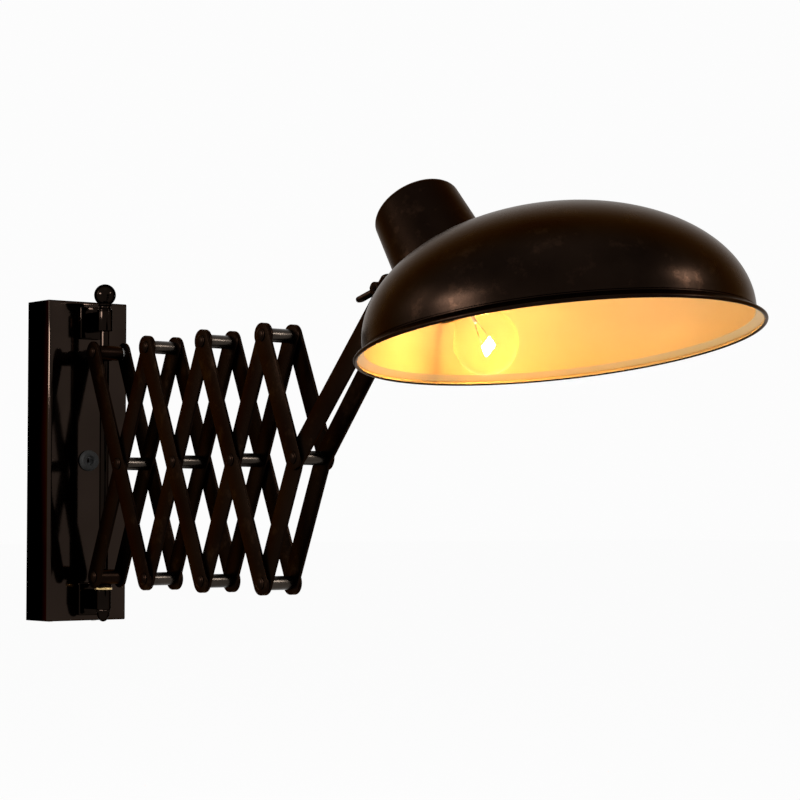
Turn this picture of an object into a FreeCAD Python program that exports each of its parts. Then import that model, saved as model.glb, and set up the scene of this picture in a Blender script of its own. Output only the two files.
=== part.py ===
import FreeCAD, Part
import os
from FreeCAD import Placement, Rotation, Vector
from Sketcher import Constraint

# Accordion wall lamp, millimetres.
# +X points away from the wall, +Z up.  The origin is on the wall, at the centre of the wall box's back.
# The scissor frames lie in planes parallel to XZ, one on each side of Y = 0.

doc = FreeCAD.newDocument("AccordionWallLamp")
sheet = doc.addObject("Spreadsheet::Sheet", "Sizes")

DRIVING = [
    # wall box and back plate
    ("box_depth", 48.5), ("box_width", 100), ("box_height", 354), ("box_wall", 1.5), ("box_round", 4),
    ("plate_thick", 3), ("plate_width", 88), ("plate_height", 320), ("window_width", 44),
    ("window_height", 200), ("fix_space_y", 64), ("fix_space_z", 280), ("fix_hole_r", 2.6),
    ("tab_depth", 22), ("tab_width", 70), ("tab_thick", 2), ("tab_gap", 0.2),
    ("screw_r", 2), ("screw_head_r", 3.8), ("screw_head_h", 2.2), ("screw_len", 6),
    ("edge_screw_x", 15), ("edge_screw_y", 28), ("drill_len", 120),
    # rod and its lugs
    ("lug_low", 142), ("lug_height", 22), ("lug_boss_r", 8.5), ("lug_web", 8),
    ("foot_width", 26), ("foot_height", 36), ("foot_thick", 4), ("tap_deep", 3),
    ("rod_x", 82), ("rod_r", 5), ("rod_half", 170), ("finial_r", 12), ("finial_z", 182),
    ("finial_neck_r", 5.6), ("finial_sink", 8), ("nut_face", 3), ("nut_crown_h", 10), ("nut_crown_r", 7),
    ("washer_thick", 2.5), ("washer_out", 0.5),
    # wiring
    ("grommet_r", 11.5), ("grommet_bore_r", 4.5), ("grommet_wall", 3), ("grommet_out", 6),
    ("grommet_in", 6), ("terminal_z", 124), ("terminal_pitch", 11), ("terminal_width", 34),
    ("terminal_height", 18), ("terminal_depth", 16), ("terminal_floor", 3), ("terminal_slot", 7),
    ("terminal_screw_r", 2.5), ("terminal_screw_len", 12), ("terminal_screw_up", 4),
    ("stud_r", 2), ("stud_len", 14), ("stud_nut_r", 3.8), ("stud_nut_h", 3),
    # scissor frames
    ("bar_centres", 268), ("bar_width", 24), ("bar_thick", 3), ("fold_angle", 23.75),
    ("layer_gap", 0.5), ("spacer_half", 14.6), ("spacer_r", 7), ("pin_r", 3), ("pin_fit", 0.06),
    ("head_r", 6.5), ("head_h", 3), ("head_gap", 0.12), ("pin_x", 8.5), ("lattice_z", -5.2),
    ("collar_r", 9), ("collar_up", 8), ("collar_down", 11.5), ("collar_fit", 0.08), ("boss_r", 8),
    ("side_gap", 0.2), ("filler_r", 6),
    # long arms and the tilt joint
    ("arm_reach", 207.4), ("arm_bend", 18.4), ("arm_inset", 3.4), ("arm_fit", 0.2),
    ("tilt_lug_half", 10), ("tilt_lug_r", 11), ("lug_screw_step", 7), ("lug_tap_deep", 11),
    ("tilt_washer_r", 8), ("tilt_washer_t", 1.2), ("hex_r", 6.5), ("hex_h", 4.5), ("bolt_end", 3),
    ("wing_hub_r", 7), ("wing_hub_len", 13), ("wing_hub_taper", 1), ("wing_root", 6),
    ("wing_len", 22), ("wing_thick", 3.5), ("wing_width", 10), ("wing_turn", 24), ("wing_splay", 18),
    ("wing_gap", 0.1),
    # shade
    ("shade_x", 833.3), ("shade_z", 86.3), ("shade_tilt", 8.85), ("dome_r", 169.5), ("dome_rise", 104),
    ("lip_height", 6.5), ("skirt_top", 13), ("rim_r", 177), ("sheet_thick", 1.4), ("bead_r", 1.8),
    ("neck_r", 38), ("bulb_u", -96.3), ("bulb_w", 21.3), ("cup_lean", 29),
    # cup that stands on the shade
    ("cup_base_t", 50), ("cup_top_t", 159), ("cup_base_r", 50), ("cup_top_r", 42), ("cup_crown", 15),
    ("cup_wall", 1.6), ("flange_low", 40), ("flange_high", 70), ("flange_in", 0.5),
    ("ring_fit", 0.2), ("ring_wall", 3), ("ring_low", 30), ("ring_high", 76), ("ring_lip", 6),
    ("ring_lip_t", 2.4), ("lead_t", 100), ("bush_r", 5.9), ("lead_hole_r", 6), ("bush_flange_r", 8.5),
    ("bush_flange_t", 3), ("bush_len", 8), ("bush_bore_r", 3.6),
    # lampholder
    ("holder_r", 20), ("holder_low", 48), ("holder_high", 88), ("holder_roof", 8), ("shell_r", 13.4),
    ("shell_t", 0.6), ("shell_gap", 1), ("contact_r", 4), ("contact_h", 4.2), ("disc_thick", 1.6),
    ("disc_rim", 6), ("disc_gap", 0.8), ("disc_hole_x", 30), ("disc_hole_r", 5), ("nipple_r", 5),
    ("nipple_bore_r", 3.2), ("nipple_in", 5), ("nipple_up", 14), ("nipple_nut_r", 8),
    ("nipple_nut_h", 4), ("peg_r", 1.6), ("peg_len", 6), ("peg_head_r", 3.2), ("peg_head_h", 1.8),
    ("peg_up", 3.5),
    # bulb
    ("bulb_r", 30), ("glass_wall", 0.8), ("globe_join", 17), ("neck_glass_r", 14.2), ("cap_r", 13),
    ("cap_low", 47), ("cap_high", 74), ("cap_wall", 0.6), ("cap_top", 1), ("button_r", 6),
    ("button_tip_r", 4), ("button_h", 1.6), ("stem_r", 5), ("stem_h", 6), ("stem_tip_r", 1.6),
    ("stem_drop", 24), ("wire_r", 0.4), ("wire_len", 30), ("wire_x", 3), ("wire_splay", 8),
    ("coil_r", 0.8), ("coil_len", 14), ("coil_z", -4),
]
for row, (alias, value) in enumerate(DRIVING, start=1):
    sheet.set("A%d" % row, alias)
    sheet.set("B%d" % row, str(value))
    sheet.setAlias("B%d" % row, alias)
doc.recompute()

S = "Sizes."
NEAR = 1e-4
parts = []


def size(alias):
    return float(sheet.get(alias))


def bind(obj, **expressions):
    """Bind properties to expressions on the sheet; a double underscore stands for a dot."""
    for prop, text in expressions.items():
        obj.setExpression(prop.replace("__", "."), str(text))
    return obj


START_ANGLE = 10  # any angle that isn't nought, so that the turning axis is kept
TURNS = {"Z": Rotation(), "Y": Rotation(Vector(1, 0, 0), -90), "-Y": Rotation(Vector(1, 0, 0), 90),
         "X": Rotation(Vector(0, 1, 0), 90), "-Z": Rotation(Vector(1, 0, 0), 180)}


def at(obj, x="0", y="0", z="0", along="Z"):
    """Place a primitive: its own +Z is turned along the named axis."""
    obj.Placement = Placement(Vector(), TURNS[along])
    return bind(obj, Placement__Base__x=x, Placement__Base__y=y, Placement__Base__z=z)


def cylinder(radius, height, x="0", y="0", z="0", along="Z"):
    obj = doc.addObject("Part::Cylinder", "Cylinder")
    bind(obj, Radius=radius, Height=height)
    return at(obj, x, y, z, along)


def cone(low_r, high_r, height, x="0", y="0", z="0", along="Z"):
    obj = doc.addObject("Part::Cone", "Cone")
    bind(obj, Radius1=low_r, Radius2=high_r, Height=height)
    return at(obj, x, y, z, along)


def block(dx, dy, dz, x="0", y="0", z="0"):
    """A box centred on y and z, that starts at x."""
    obj = doc.addObject("Part::Box", "Block")
    bind(obj, Length=dx, Width=dy, Height=dz)
    return at(obj, x, "%s - (%s)/2" % (y, dy), "%s - (%s)/2" % (z, dz))


def drill(radius, x="0", y="0", z="0", along="Z"):
    """A long cylinder through a point, for cutting."""
    start = {"X": x, "Y": y, "Z": z}
    start[along] = "%s - %sdrill_len / 2" % (start[along], S)
    return cylinder(radius, S + "drill_len", start["X"], start["Y"], start["Z"], along)


def ellipsoid(polar, equator, x="0", y="0", z="0", along="Z", half=False):
    obj = doc.addObject("Part::Ellipsoid", "Ellipsoid")
    bind(obj, Radius1=polar, Radius2=equator, Radius3=equator)
    obj.Angle1 = 0 if half else -90
    obj.Angle2 = 90
    obj.Angle3 = 360
    return at(obj, x, y, z, along)


def fuse(*shapes):
    obj = doc.addObject("Part::MultiFuse", "Fusion")
    obj.Shapes = list(shapes)
    return obj


def cut(base, *tools):
    obj = doc.addObject("Part::Cut", "Cut")
    obj.Base = base
    obj.Tool = tools[0] if len(tools) == 1 else fuse(*tools)
    return obj


def common(base, tool):
    obj = doc.addObject("Part::Common", "Common")
    obj.Base = base
    obj.Tool = tool
    return obj


def group(*shapes):
    obj = doc.addObject("Part::Compound", "Group")
    obj.Links = list(shapes)
    return obj


def turned(obj, x, y, z, axis, angle):
    """Turn a finished shape about an axis through the origin of its frame, then move it."""
    holder = group(obj)
    holder.Placement = Placement(Vector(), Rotation(axis, START_ANGLE))
    return bind(holder, Placement__Base__x=x, Placement__Base__y=y, Placement__Base__z=z,
                Placement__Rotation__Angle=angle)


def part(label, obj):
    """Name a finished sub-part; the label is also its file name."""
    obj.Label = label
    parts.append(obj)
    return obj


# ---------------------------------------------------------------- wall unit

def faces_at_x(shape, value):
    """Names of the flat faces that lie at one value of X."""
    found = []
    for number, face in enumerate(shape.Faces, start=1):
        box = face.BoundBox
        if abs(box.XMin - value) < NEAR and abs(box.XMax - value) < NEAR:
            found.append("Face%d" % number)
    return found


def origin_plane(body, role):
    return next(f for f in body.Origin.OriginFeatures if f.Role == role)


def rectangle_sketch(body, name, role, width, height):
    """A rectangle centred on the plane's origin, with driven width and height."""
    sketch = body.newObject("Sketcher::SketchObject", name)
    sketch.AttachmentSupport = [(origin_plane(body, role), "")]
    sketch.MapMode = "FlatFace"
    w, t = 10.0, 20.0  # half sizes to start from; the constraints drive them
    corners = [Vector(-w, -t, 0), Vector(w, -t, 0), Vector(w, t, 0), Vector(-w, t, 0)]
    for k in range(4):
        sketch.addGeometry(Part.LineSegment(corners[k], corners[(k + 1) % 4]), False)
    for k in range(4):
        sketch.addConstraint(Constraint("Coincident", k, 2, (k + 1) % 4, 1))
    for k in (0, 2):
        sketch.addConstraint(Constraint("Horizontal", k))
    for k in (1, 3):
        sketch.addConstraint(Constraint("Vertical", k))
    sketch.addConstraint(Constraint("Symmetric", 0, 1, 1, 2, -1, 1))
    wide = sketch.addConstraint(Constraint("DistanceX", 0, 1, 0, 2, 2 * w))
    tall = sketch.addConstraint(Constraint("DistanceY", 1, 1, 1, 2, 2 * t))
    sketch.setExpression("Constraints[%d]" % wide, width)
    sketch.setExpression("Constraints[%d]" % tall, height)
    return sketch


def wall_cover():
    """Deep rectangular box, open at the back, with rounded front edges and corners."""
    body = doc.addObject("PartDesign::Body", "CoverBody")
    outline = rectangle_sketch(body, "CoverOutline", "YZ_Plane", S + "box_width", S + "box_height")
    pad = body.newObject("PartDesign::Pad", "CoverPad")
    pad.Profile = outline
    bind(pad, Length=S + "box_depth")
    doc.recompute()
    fillet = body.newObject("PartDesign::Fillet", "CoverRound")
    front = faces_at_x(pad.Shape, size("box_depth"))
    fillet.Base = (pad, front)
    bind(fillet, Radius=S + "box_round")
    doc.recompute()
    shell = body.newObject("PartDesign::Thickness", "CoverShell")
    shell.Base = (fillet, faces_at_x(fillet.Shape, 0.0))
    shell.Reversed = True
    bind(shell, Value=S + "box_wall")
    doc.recompute()
    holes = [drill("%sgrommet_bore_r + %sgrommet_wall" % (S, S), S + "box_depth", "0", "0", "X")]
    for side in (1, -1):
        for dz in (-1, 1):
            holes.append(drill(S + "screw_r", S + "box_depth", "0", foot_screw_z(side, dz), "X"))
        for dy in (-1, 1):
            holes.append(edge_drill(side, dy))
    return part("wall_cover", cut(body, *holes))


def lug_middle(side):
    return "%d * (%slug_low + %slug_height / 2)" % (side, S, S)


def foot_screw_z(side, dz):
    return "%s + %d * %sfoot_height / 3" % (lug_middle(side), dz, S)


def edge_drill(side, dy):
    """Hole for a screw through the box's end and the plate's tab."""
    return drill(S + "screw_r", S + "edge_screw_x", "%d * %sedge_screw_y" % (dy, S),
                 "%d * %sbox_height / 2" % (side, S))


def wall_plate():
    """Steel back plate with a wiring window, four fixing holes and a bent tab at each end."""
    plate = block(S + "plate_thick", S + "plate_width", S + "plate_height")
    tab_outer = "(%sbox_height / 2 - %sbox_wall - %stab_gap)" % (S, S, S)
    tabs = []
    for side in (1, -1):
        tongue_z = "%d * (%splate_height / 2 + %s) / 2" % (side, S, tab_outer)
        tabs.append(block(S + "plate_thick", S + "tab_width", "%s - %splate_height / 2" % (tab_outer, S),
                          z=tongue_z))
        tabs.append(block(S + "tab_depth", S + "tab_width", S + "tab_thick",
                          z="%d * (%s - %stab_thick / 2)" % (side, tab_outer, S)))
    holes = [block("3 * %splate_thick" % S, S + "window_width", S + "window_height", "-%splate_thick" % S)]
    for sz in (-1, 1):
        for sy in (-1, 1):
            holes.append(drill(S + "fix_hole_r", "0", "%d * %sfix_space_y / 2" % (sy, S),
                               "%d * %sfix_space_z / 2" % (sz, S), "X"))
            holes.append(edge_drill(sz, sy))
    return part("wall_plate", cut(fuse(plate, *tabs), *holes))


def cover_screws():
    """Two screws in the top edge and two in the bottom edge hold the box on the plate's tabs."""
    screws = []
    for side, up in ((1, "Z"), (-1, "-Z")):
        for dy in (-1, 1):
            x, y = S + "edge_screw_x", "%d * %sedge_screw_y" % (dy, S)
            face = "%d * %sbox_height / 2" % (side, S)
            shank_z = "%s - %d * %sscrew_len" % (face, side, S)
            shank = cylinder(S + "screw_r", S + "screw_len", x, y, shank_z, up)
            head = ellipsoid(S + "screw_head_h", S + "screw_head_r", x, y, face, up, half=True)
            screws.append(fuse(shank, head))
    return part("cover_screws", group(*screws))


def rod_lug(label, side):
    """Lug on the box face: foot, web and an upright boss that grips the rod."""
    z = lug_middle(side)
    foot = block(S + "foot_thick", S + "foot_width", S + "foot_height", S + "box_depth", z=z)
    web = block("%srod_x - %sbox_depth - %srod_r" % (S, S, S), S + "lug_web", S + "lug_height",
                S + "box_depth", z=z)
    boss = cylinder(S + "lug_boss_r", S + "lug_height", S + "rod_x", "0",
                    "%s - %slug_height / 2" % (z, S))
    bore = drill(S + "rod_r", S + "rod_x", "0", z)
    taps = [cylinder(S + "screw_r", S + "tap_deep", S + "box_depth", "0", foot_screw_z(side, dz), "X")
            for dz in (-1, 1)]
    return part(label, cut(fuse(foot, web, boss), bore, *taps))


def lug_screws():
    """Screws from inside the box into the lugs' feet."""
    inside = "%sbox_depth - %sbox_wall" % (S, S)
    screws = []
    for side in (1, -1):
        for dz in (-1, 1):
            z = foot_screw_z(side, dz)
            head = cylinder(S + "screw_head_r", S + "screw_head_h", "%s - %sscrew_head_h" % (inside, S),
                            "0", z, "X")
            shank = cylinder(S + "screw_r", "%sbox_wall + %stap_deep" % (S, S), inside, "0", z, "X")
            screws.append(fuse(head, shank))
    return part("lug_screws", group(*screws))


def rod_parts():
    """Upright rod with a ball finial on top, a cap nut below and a thrust washer on the lower lug."""
    x, lug_end = S + "rod_x", "(%slug_low + %slug_height)" % (S, S)
    thread = "%srod_half - %s" % (S, lug_end)
    part("swing_rod", cylinder(S + "rod_r", "2 * %srod_half" % S, x, "0", "-%srod_half" % S))
    ball = ellipsoid(S + "finial_r", S + "finial_r", x, "0", S + "finial_z")
    neck = cone(S + "lug_boss_r", S + "finial_neck_r", "%sfinial_z - %s - %sfinial_sink" % (S, lug_end, S),
                x, "0", lug_end)
    part("ball_finial", cut(fuse(ball, neck), cylinder(S + "rod_r", thread, x, "0", lug_end)))
    face_z = "-%s - %snut_face" % (lug_end, S)
    face = cylinder(S + "lug_boss_r", S + "nut_face", x, "0", face_z)
    crown = ellipsoid(S + "nut_crown_h", S + "nut_crown_r", x, "0", face_z, "-Z", half=True)
    part("rod_cap_nut", cut(fuse(face, crown), cylinder(S + "rod_r", thread, x, "0", "-%srod_half" % S)))
    ring_body = cylinder("%scollar_r + %swasher_out" % (S, S), S + "washer_thick", x, "0", "-%slug_low" % S)
    part("thrust_washer", cut(ring_body, drill(S + "rod_r", x, "0", "-%slug_low" % S)))


def wiring_parts():
    """Cable grommet on the face, and the terminal block and earth stud on the back plate."""
    face, rest = S + "box_depth", S + "plate_thick"
    collar_part = cylinder(S + "grommet_r", S + "grommet_out", face, "0", "0", "X")
    sleeve = cylinder("%sgrommet_bore_r + %sgrommet_wall" % (S, S), S + "grommet_in",
                      "%s - %sgrommet_in" % (face, S), "0", "0", "X")
    part("cable_grommet", cut(fuse(collar_part, sleeve), drill(S + "grommet_bore_r", face, "0", "0", "X")))
    middle = S + "terminal_z"
    places = ["%d * %sterminal_pitch" % (k, S) for k in (-1, 0, 1)]
    slots = [block(S + "terminal_depth", S + "terminal_slot", "2 * %sterminal_height" % S,
                   "%s + %sterminal_floor" % (rest, S), y, middle) for y in places]
    body = block(S + "terminal_depth", S + "terminal_width", S + "terminal_height", rest, z=middle)
    part("terminal_block", cut(body, *slots))
    part("terminal_screws", group(*[cylinder(S + "terminal_screw_r", S + "terminal_screw_len",
                                             "%s + %sterminal_screw_up" % (rest, S), y, middle, "X")
                                    for y in places]))
    stud = cylinder(S + "stud_r", S + "stud_len", rest, "0", "-" + middle, "X")
    nut = cylinder(S + "stud_nut_r", S + "stud_nut_h", rest, "0", "-" + middle, "X")
    part("earth_stud", fuse(stud, nut))


# ---------------------------------------------------------------- scissor frames

half_bar = S + "bar_centres / 2"
pitch = "(%sbar_centres * sin(%sfold_angle))" % (S, S)
rise = "(%sbar_centres / 2 * cos(%sfold_angle))" % (S, S)
first_x = "(%srod_x + %spin_x)" % (S, S)
inner_y = S + "spacer_half"
outer_y = "(%sspacer_half + %sbar_thick + %slayer_gap)" % (S, S, S)


def joint_place(step, level):
    """Place of a joint: step counts pitches from the rod, level is -1, 0 or 1."""
    return ("%s + %s * %s" % (first_x, step, pitch), "0", "%slattice_z + %s * %s" % (S, level, rise))


def bar_pair(label, low_z, y_face, holes, step, lean):
    """Near and far flat bars with round ends, upright about the crossing, then leaned over."""
    high = half_bar
    solids = []
    for side in (1, -1):
        y_mid = "%d * (%s + %sbar_thick / 2)" % (side, y_face, S)
        y_low = "%s - %sbar_thick / 2" % (y_mid, S)
        flat = block(S + "bar_width", S + "bar_thick", "%s - (%s)" % (high, low_z),
                     "-%sbar_width / 2" % S, y_mid, "((%s) + (%s)) / 2" % (high, low_z))
        ends = [cylinder(S + "bar_width / 2", S + "bar_thick", "0", y_low, z, "Y") for z in (low_z, high)]
        solids += [flat] + ends
    drills = [drill(radius, z=z, along="Y") for z, radius in holes]
    x, y, z = joint_place(step, 0)
    return part(label, turned(cut(fuse(*solids), *drills), x, y, z, Vector(0, lean, 0), S + "fold_angle"))


def rivet(step, level, y_face):
    """Through pin with a domed head on each outside face."""
    x, y, z = joint_place(step, level)
    seat = "(%s + %sbar_thick + %shead_gap)" % (y_face, S, S)
    shank = cylinder(S + "pin_r", "2 * " + seat, x, "-" + seat, z, "Y")
    heads = [ellipsoid(S + "head_h", S + "head_r", x, "%d * %s" % (side, seat), z, way, half=True)
             for side, way in ((1, "Y"), (-1, "-Y"))]
    return fuse(shank, *heads)


def spacer(step, level):
    """Tube that keeps the two frames apart."""
    x, y, z = joint_place(step, level)
    tube = cylinder(S + "spacer_r", "2 * " + inner_y, x, "-" + inner_y, z, "Y")
    return cut(tube, drill(S + "pin_r", x, y, z, "Y"))


def collar(label, level, up, down):
    """Sleeve on the rod with a cross boss that carries the first pivot in front of the rod."""
    x, y, z = joint_place(0, level)
    sleeve = cylinder(S + "collar_r", "%s + %s" % (up, down), S + "rod_x", "0", "%s - %s" % (z, down))
    half = "(%s - %sside_gap)" % (inner_y, S)
    boss = cylinder(S + "boss_r", "2 * " + half, x, "-" + half, z, "Y")
    bore = drill("%srod_r + %scollar_fit" % (S, S), S + "rod_x", "0", z)
    cross = drill(S + "pin_r", x, "0", z, "Y")
    return part(label, cut(fuse(sleeve, boss), bore, cross))


def scissor_frames():
    tight, loose = S + "pin_r", "(%spin_r + %spin_fit)" % (S, S)
    collar("lower_collar", -1, S + "collar_up", S + "collar_down")
    part("lower_collar_pin", rivet(0, -1, inner_y))
    collar("upper_collar", 1, S + "collar_up", S + "collar_up")
    part("upper_collar_pin", rivet(0, 1, outer_y))
    x, y, z = joint_place(0, 1)
    fillers = []
    for side, way in ((1, "Y"), (-1, "-Y")):
        start = "%d * (%s + %sside_gap / 2)" % (side, inner_y, S)
        ring_body = cylinder(S + "filler_r", "%sbar_thick + %sside_gap" % (S, S), x, start, z, way)
        fillers.append(cut(ring_body, drill(S + "pin_r", x, "0", z, "Y")))
    part("upper_collar_washers", group(*fillers))
    for unit in (1, 2, 3):
        middle = unit - 0.5
        bar_pair("inner_bars_%d" % unit, "-" + half_bar, inner_y,
                 [("-" + half_bar, loose if unit == 1 else tight), ("0", tight), (half_bar, tight)],
                 middle, 1)
        bar_pair("outer_bars_%d" % unit, "-" + half_bar, outer_y,
                 [("-" + half_bar, loose), ("0", loose), (half_bar, loose)], middle, -1)
        joints = [(middle, 0), (unit, 1)]
        if unit > 1:
            joints.append((unit - 1, -1))
        part("spacer_tubes_%d" % unit, group(*[spacer(*joint) for joint in joints]))
        part("rivets_%d" % unit, group(*[rivet(step, level, outer_y) for step, level in joints]))
    bar_pair("short_bars", "0", outer_y, [("0", loose), (half_bar, loose)], 3.5, -1)
    last = [(3.5, 0), (3, -1)]
    part("spacer_tubes_4", group(*[spacer(*joint) for joint in last]))
    part("rivets_4", group(*[rivet(step, level, outer_y) for step, level in last]))


# ---------------------------------------------------------------- long arms

inset_angle = "asin(%sarm_inset / %sarm_reach)" % (S, S)


def long_arms():
    """Cranked arms: half a bar below the last crossing, then a longer, splayed reach to the shade."""
    solids = []
    drills = [drill(S + "pin_r", z=z, along="Y") for z in ("0", "-" + half_bar)]
    drills.append(cylinder(S + "spacer_r", "2 * " + inner_y, "0", "-" + inner_y, "0", "Y"))
    for side in (1, -1):
        y_mid = "%d * (%s + %sbar_thick / 2)" % (side, inner_y, S)
        y_low = "%s - %sbar_thick / 2" % (y_mid, S)
        foot = block(S + "bar_width", S + "bar_thick", half_bar, "-%sbar_width / 2" % S, y_mid,
                     "-%s / 2" % half_bar)
        ends = [cylinder(S + "bar_width / 2", S + "bar_thick", "0", y_low, z, "Y")
                for z in ("0", "-" + half_bar)]
        solids += [foot] + ends
        reach = block(S + "bar_width", S + "bar_thick", S + "arm_reach", "-%sbar_width / 2" % S,
                      "0", S + "arm_reach / 2")
        tip = cylinder(S + "bar_width / 2", S + "bar_thick", "0", "-%sbar_thick / 2" % S,
                       S + "arm_reach", "Y")
        hole = drill("(%spin_r + %spin_fit)" % (S, S), z=S + "arm_reach", along="Y")
        upper = turned(cut(fuse(reach, tip), hole), "0", "0", "0", Vector(side, 0, 0), inset_angle)
        solids.append(turned(upper, "0", y_mid, "0", Vector(0, 1, 0), S + "arm_bend"))
    arms = cut(fuse(*solids), *drills)
    x, y, z = joint_place(3.5, 0)
    return part("long_arms", turned(arms, x, y, z, Vector(0, 1, 0), S + "fold_angle"))


# ---------------------------------------------------------------- frames of the shade and the cup

pivot_x = "(%s + 3.5 * %s + %sarm_reach * sin(%sfold_angle + %sarm_bend))" % (first_x, pitch, S, S, S)
pivot_z = "(%slattice_z + %sarm_reach * cos(%sfold_angle + %sarm_bend))" % (S, S, S, S)
cos_tilt, sin_tilt = "cos(%sshade_tilt)" % S, "sin(%sshade_tilt)" % S
cos_lean, sin_lean = "cos(%scup_lean)" % S, "sin(%scup_lean)" % S
# the tilt pivot in the shade's own frame, then in the cup's frame
pivot_u = "((%s - %sshade_x) * %s + (%s - %sshade_z) * %s)" % (pivot_x, S, cos_tilt, pivot_z, S, sin_tilt)
pivot_w = "((%s - %sshade_z) * %s - (%s - %sshade_x) * %s)" % (pivot_z, S, cos_tilt, pivot_x, S, sin_tilt)
from_bulb_u = "(%s - %sbulb_u)" % (pivot_u, S)
from_bulb_w = "(%s - %sbulb_w)" % (pivot_w, S)
pivot_s = "(%s * %s + %s * %s)" % (from_bulb_u, cos_lean, from_bulb_w, sin_lean)
pivot_t = "(%s * %s - %s * %s)" % (from_bulb_w, cos_lean, from_bulb_u, sin_lean)


def in_cup(obj):
    """Cup frame: origin at the middle of the bulb's globe, +Z up the cup's own axis."""
    return turned(obj, S + "bulb_u", "0", S + "bulb_w", Vector(0, -1, 0), S + "cup_lean")


def in_shade(obj):
    """Shade frame: origin at the middle of the rim, +Z up the dome's axis."""
    return turned(obj, S + "shade_x", "0", S + "shade_z", Vector(0, -1, 0), S + "shade_tilt")


def dome_solid(inward):
    """Solid half ellipsoid of the dome on its short upright skirt, smaller by the given amount."""
    radius = "%sdome_r - %s" % (S, inward)
    skirt = cylinder(radius, "%sskirt_top - %slip_height" % (S, S), z=S + "lip_height")
    crown = ellipsoid("%sdome_rise - %s" % (S, inward), radius, z=S + "skirt_top", half=True)
    return fuse(skirt, crown)


def ring(outer, inner, low, high):
    """Upright ring between two heights."""
    body = cylinder(outer, "%s - (%s)" % (high, low), z=low)
    return cut(body, drill(inner, z=low))


def cup_at(t):
    """Outside radius of the tapered cup at a height along its axis."""
    slope = "(%scup_base_r - %scup_top_r) / (%scup_top_t - %scup_base_t)" % (S, S, S, S)
    return "(%scup_base_r - %s * (%s - %scup_base_t))" % (S, slope, t, S)


def cup_body(inward):
    low, high = S + "cup_base_t", S + "cup_top_t"
    wall = cone("%scup_base_r - %s" % (S, inward), "%scup_top_r - %s" % (S, inward),
                "%s - %s" % (high, low), z=low)
    crown = ellipsoid("%scup_crown - %s" % (S, inward), "%scup_top_r - %s" % (S, inward), z=high, half=True)
    return fuse(wall, crown)


# ---------------------------------------------------------------- tilt joint

arm_mid = "(%sspacer_half + %sbar_thick / 2 - %sarm_inset)" % (S, S, S)
arm_in = "(%s - %sbar_thick / 2 - %sarm_fit)" % (arm_mid, S, S)
arm_out = "(%s + %sbar_thick / 2 + %sarm_fit)" % (arm_mid, S, S)
lug_screw_places = ["%s + %d * %slug_screw_step" % (pivot_t, k, S) for k in (-1, 1)]
tilt_seat = "(%s + %stilt_washer_t)" % (arm_out, S)
peg_z = "(%sholder_high + %speg_up)" % (S, S)


def tilt_lug():
    """Block between the arms, shaped to the cup's side."""
    wide = "2 * %stilt_lug_half" % S
    eye = cylinder(S + "tilt_lug_r", wide, pivot_s, "-%stilt_lug_half" % S, pivot_t, "Y")
    shank = block("-(%s)" % pivot_s, wide, "2 * %stilt_lug_r" % S, pivot_s, z=pivot_t)
    bore = drill(S + "pin_r", pivot_s, "0", pivot_t, "Y")
    taps = [cylinder(S + "screw_r", "2 * %slug_tap_deep" % S, "-%s - %slug_tap_deep" % (cup_at(pivot_t), S),
                     "0", z, "X") for z in lug_screw_places]
    return part("tilt_lug", in_shade(in_cup(cut(fuse(eye, shank), cup_body("0"), bore, *taps))))


def tilt_bolt():
    """Hexagon bolt across the arms and the lug, long enough for the wing nut on the near side."""
    tail = "(%s + %swing_hub_len + %sbolt_end)" % (tilt_seat, S, S)
    shank = cylinder(S + "pin_r", "%s + %s" % (tilt_seat, tail), pivot_x, "-" + tail, pivot_z, "Y")
    head = doc.addObject("Part::Prism", "HexHead")
    head.Polygon = 6
    bind(head, Circumradius=S + "hex_r", Height=S + "hex_h")
    at(head, pivot_x, tilt_seat, pivot_z, "Y")
    return part("tilt_bolt", fuse(shank, head))


def tilt_washers():
    inner = (S + "tilt_lug_half", "%s - %stilt_lug_half" % (arm_in, S))
    outer = (arm_out, S + "tilt_washer_t")
    rings = []
    for side, way in ((1, "Y"), (-1, "-Y")):
        for start, thick in (inner, outer):
            disc = cylinder(S + "tilt_washer_r", thick, pivot_x, "%d * %s" % (side, start), pivot_z, way)
            rings.append(cut(disc, drill(S + "pin_r", pivot_x, "0", pivot_z, "Y")))
    return part("tilt_washers", group(*rings))


def wing_nut():
    """Hub with two splayed wings; its own +Z is the bolt's axis, away from the arms."""
    hub = cone(S + "wing_hub_r", "%swing_hub_r - %swing_hub_taper" % (S, S), S + "wing_hub_len")
    wings = []
    for half_turn in (0, 180):
        flat = block(S + "wing_len", S + "wing_thick", S + "wing_width")
        tip = cylinder(S + "wing_width / 2", S + "wing_thick", S + "wing_len", "-%swing_thick / 2" % S,
                       "0", "Y")
        wing = turned(fuse(flat, tip), "0", "0", S + "wing_root", Vector(0, -1, 0), S + "wing_splay")
        wings.append(turned(fuse(wing, hub), "0", "0", "0", Vector(0, 0, 1), str(half_turn)))
    bore = drill("%spin_r + %spin_fit" % (S, S))
    spun = turned(cut(fuse(*wings), bore), "0", "0", "0", Vector(0, 0, 1), S + "wing_turn")
    return part("wing_nut", at(group(spun), pivot_x, "-(%s + %swing_gap)" % (tilt_seat, S), pivot_z, "-Y"))


# ---------------------------------------------------------------- shade, cup, lampholder and bulb

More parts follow.
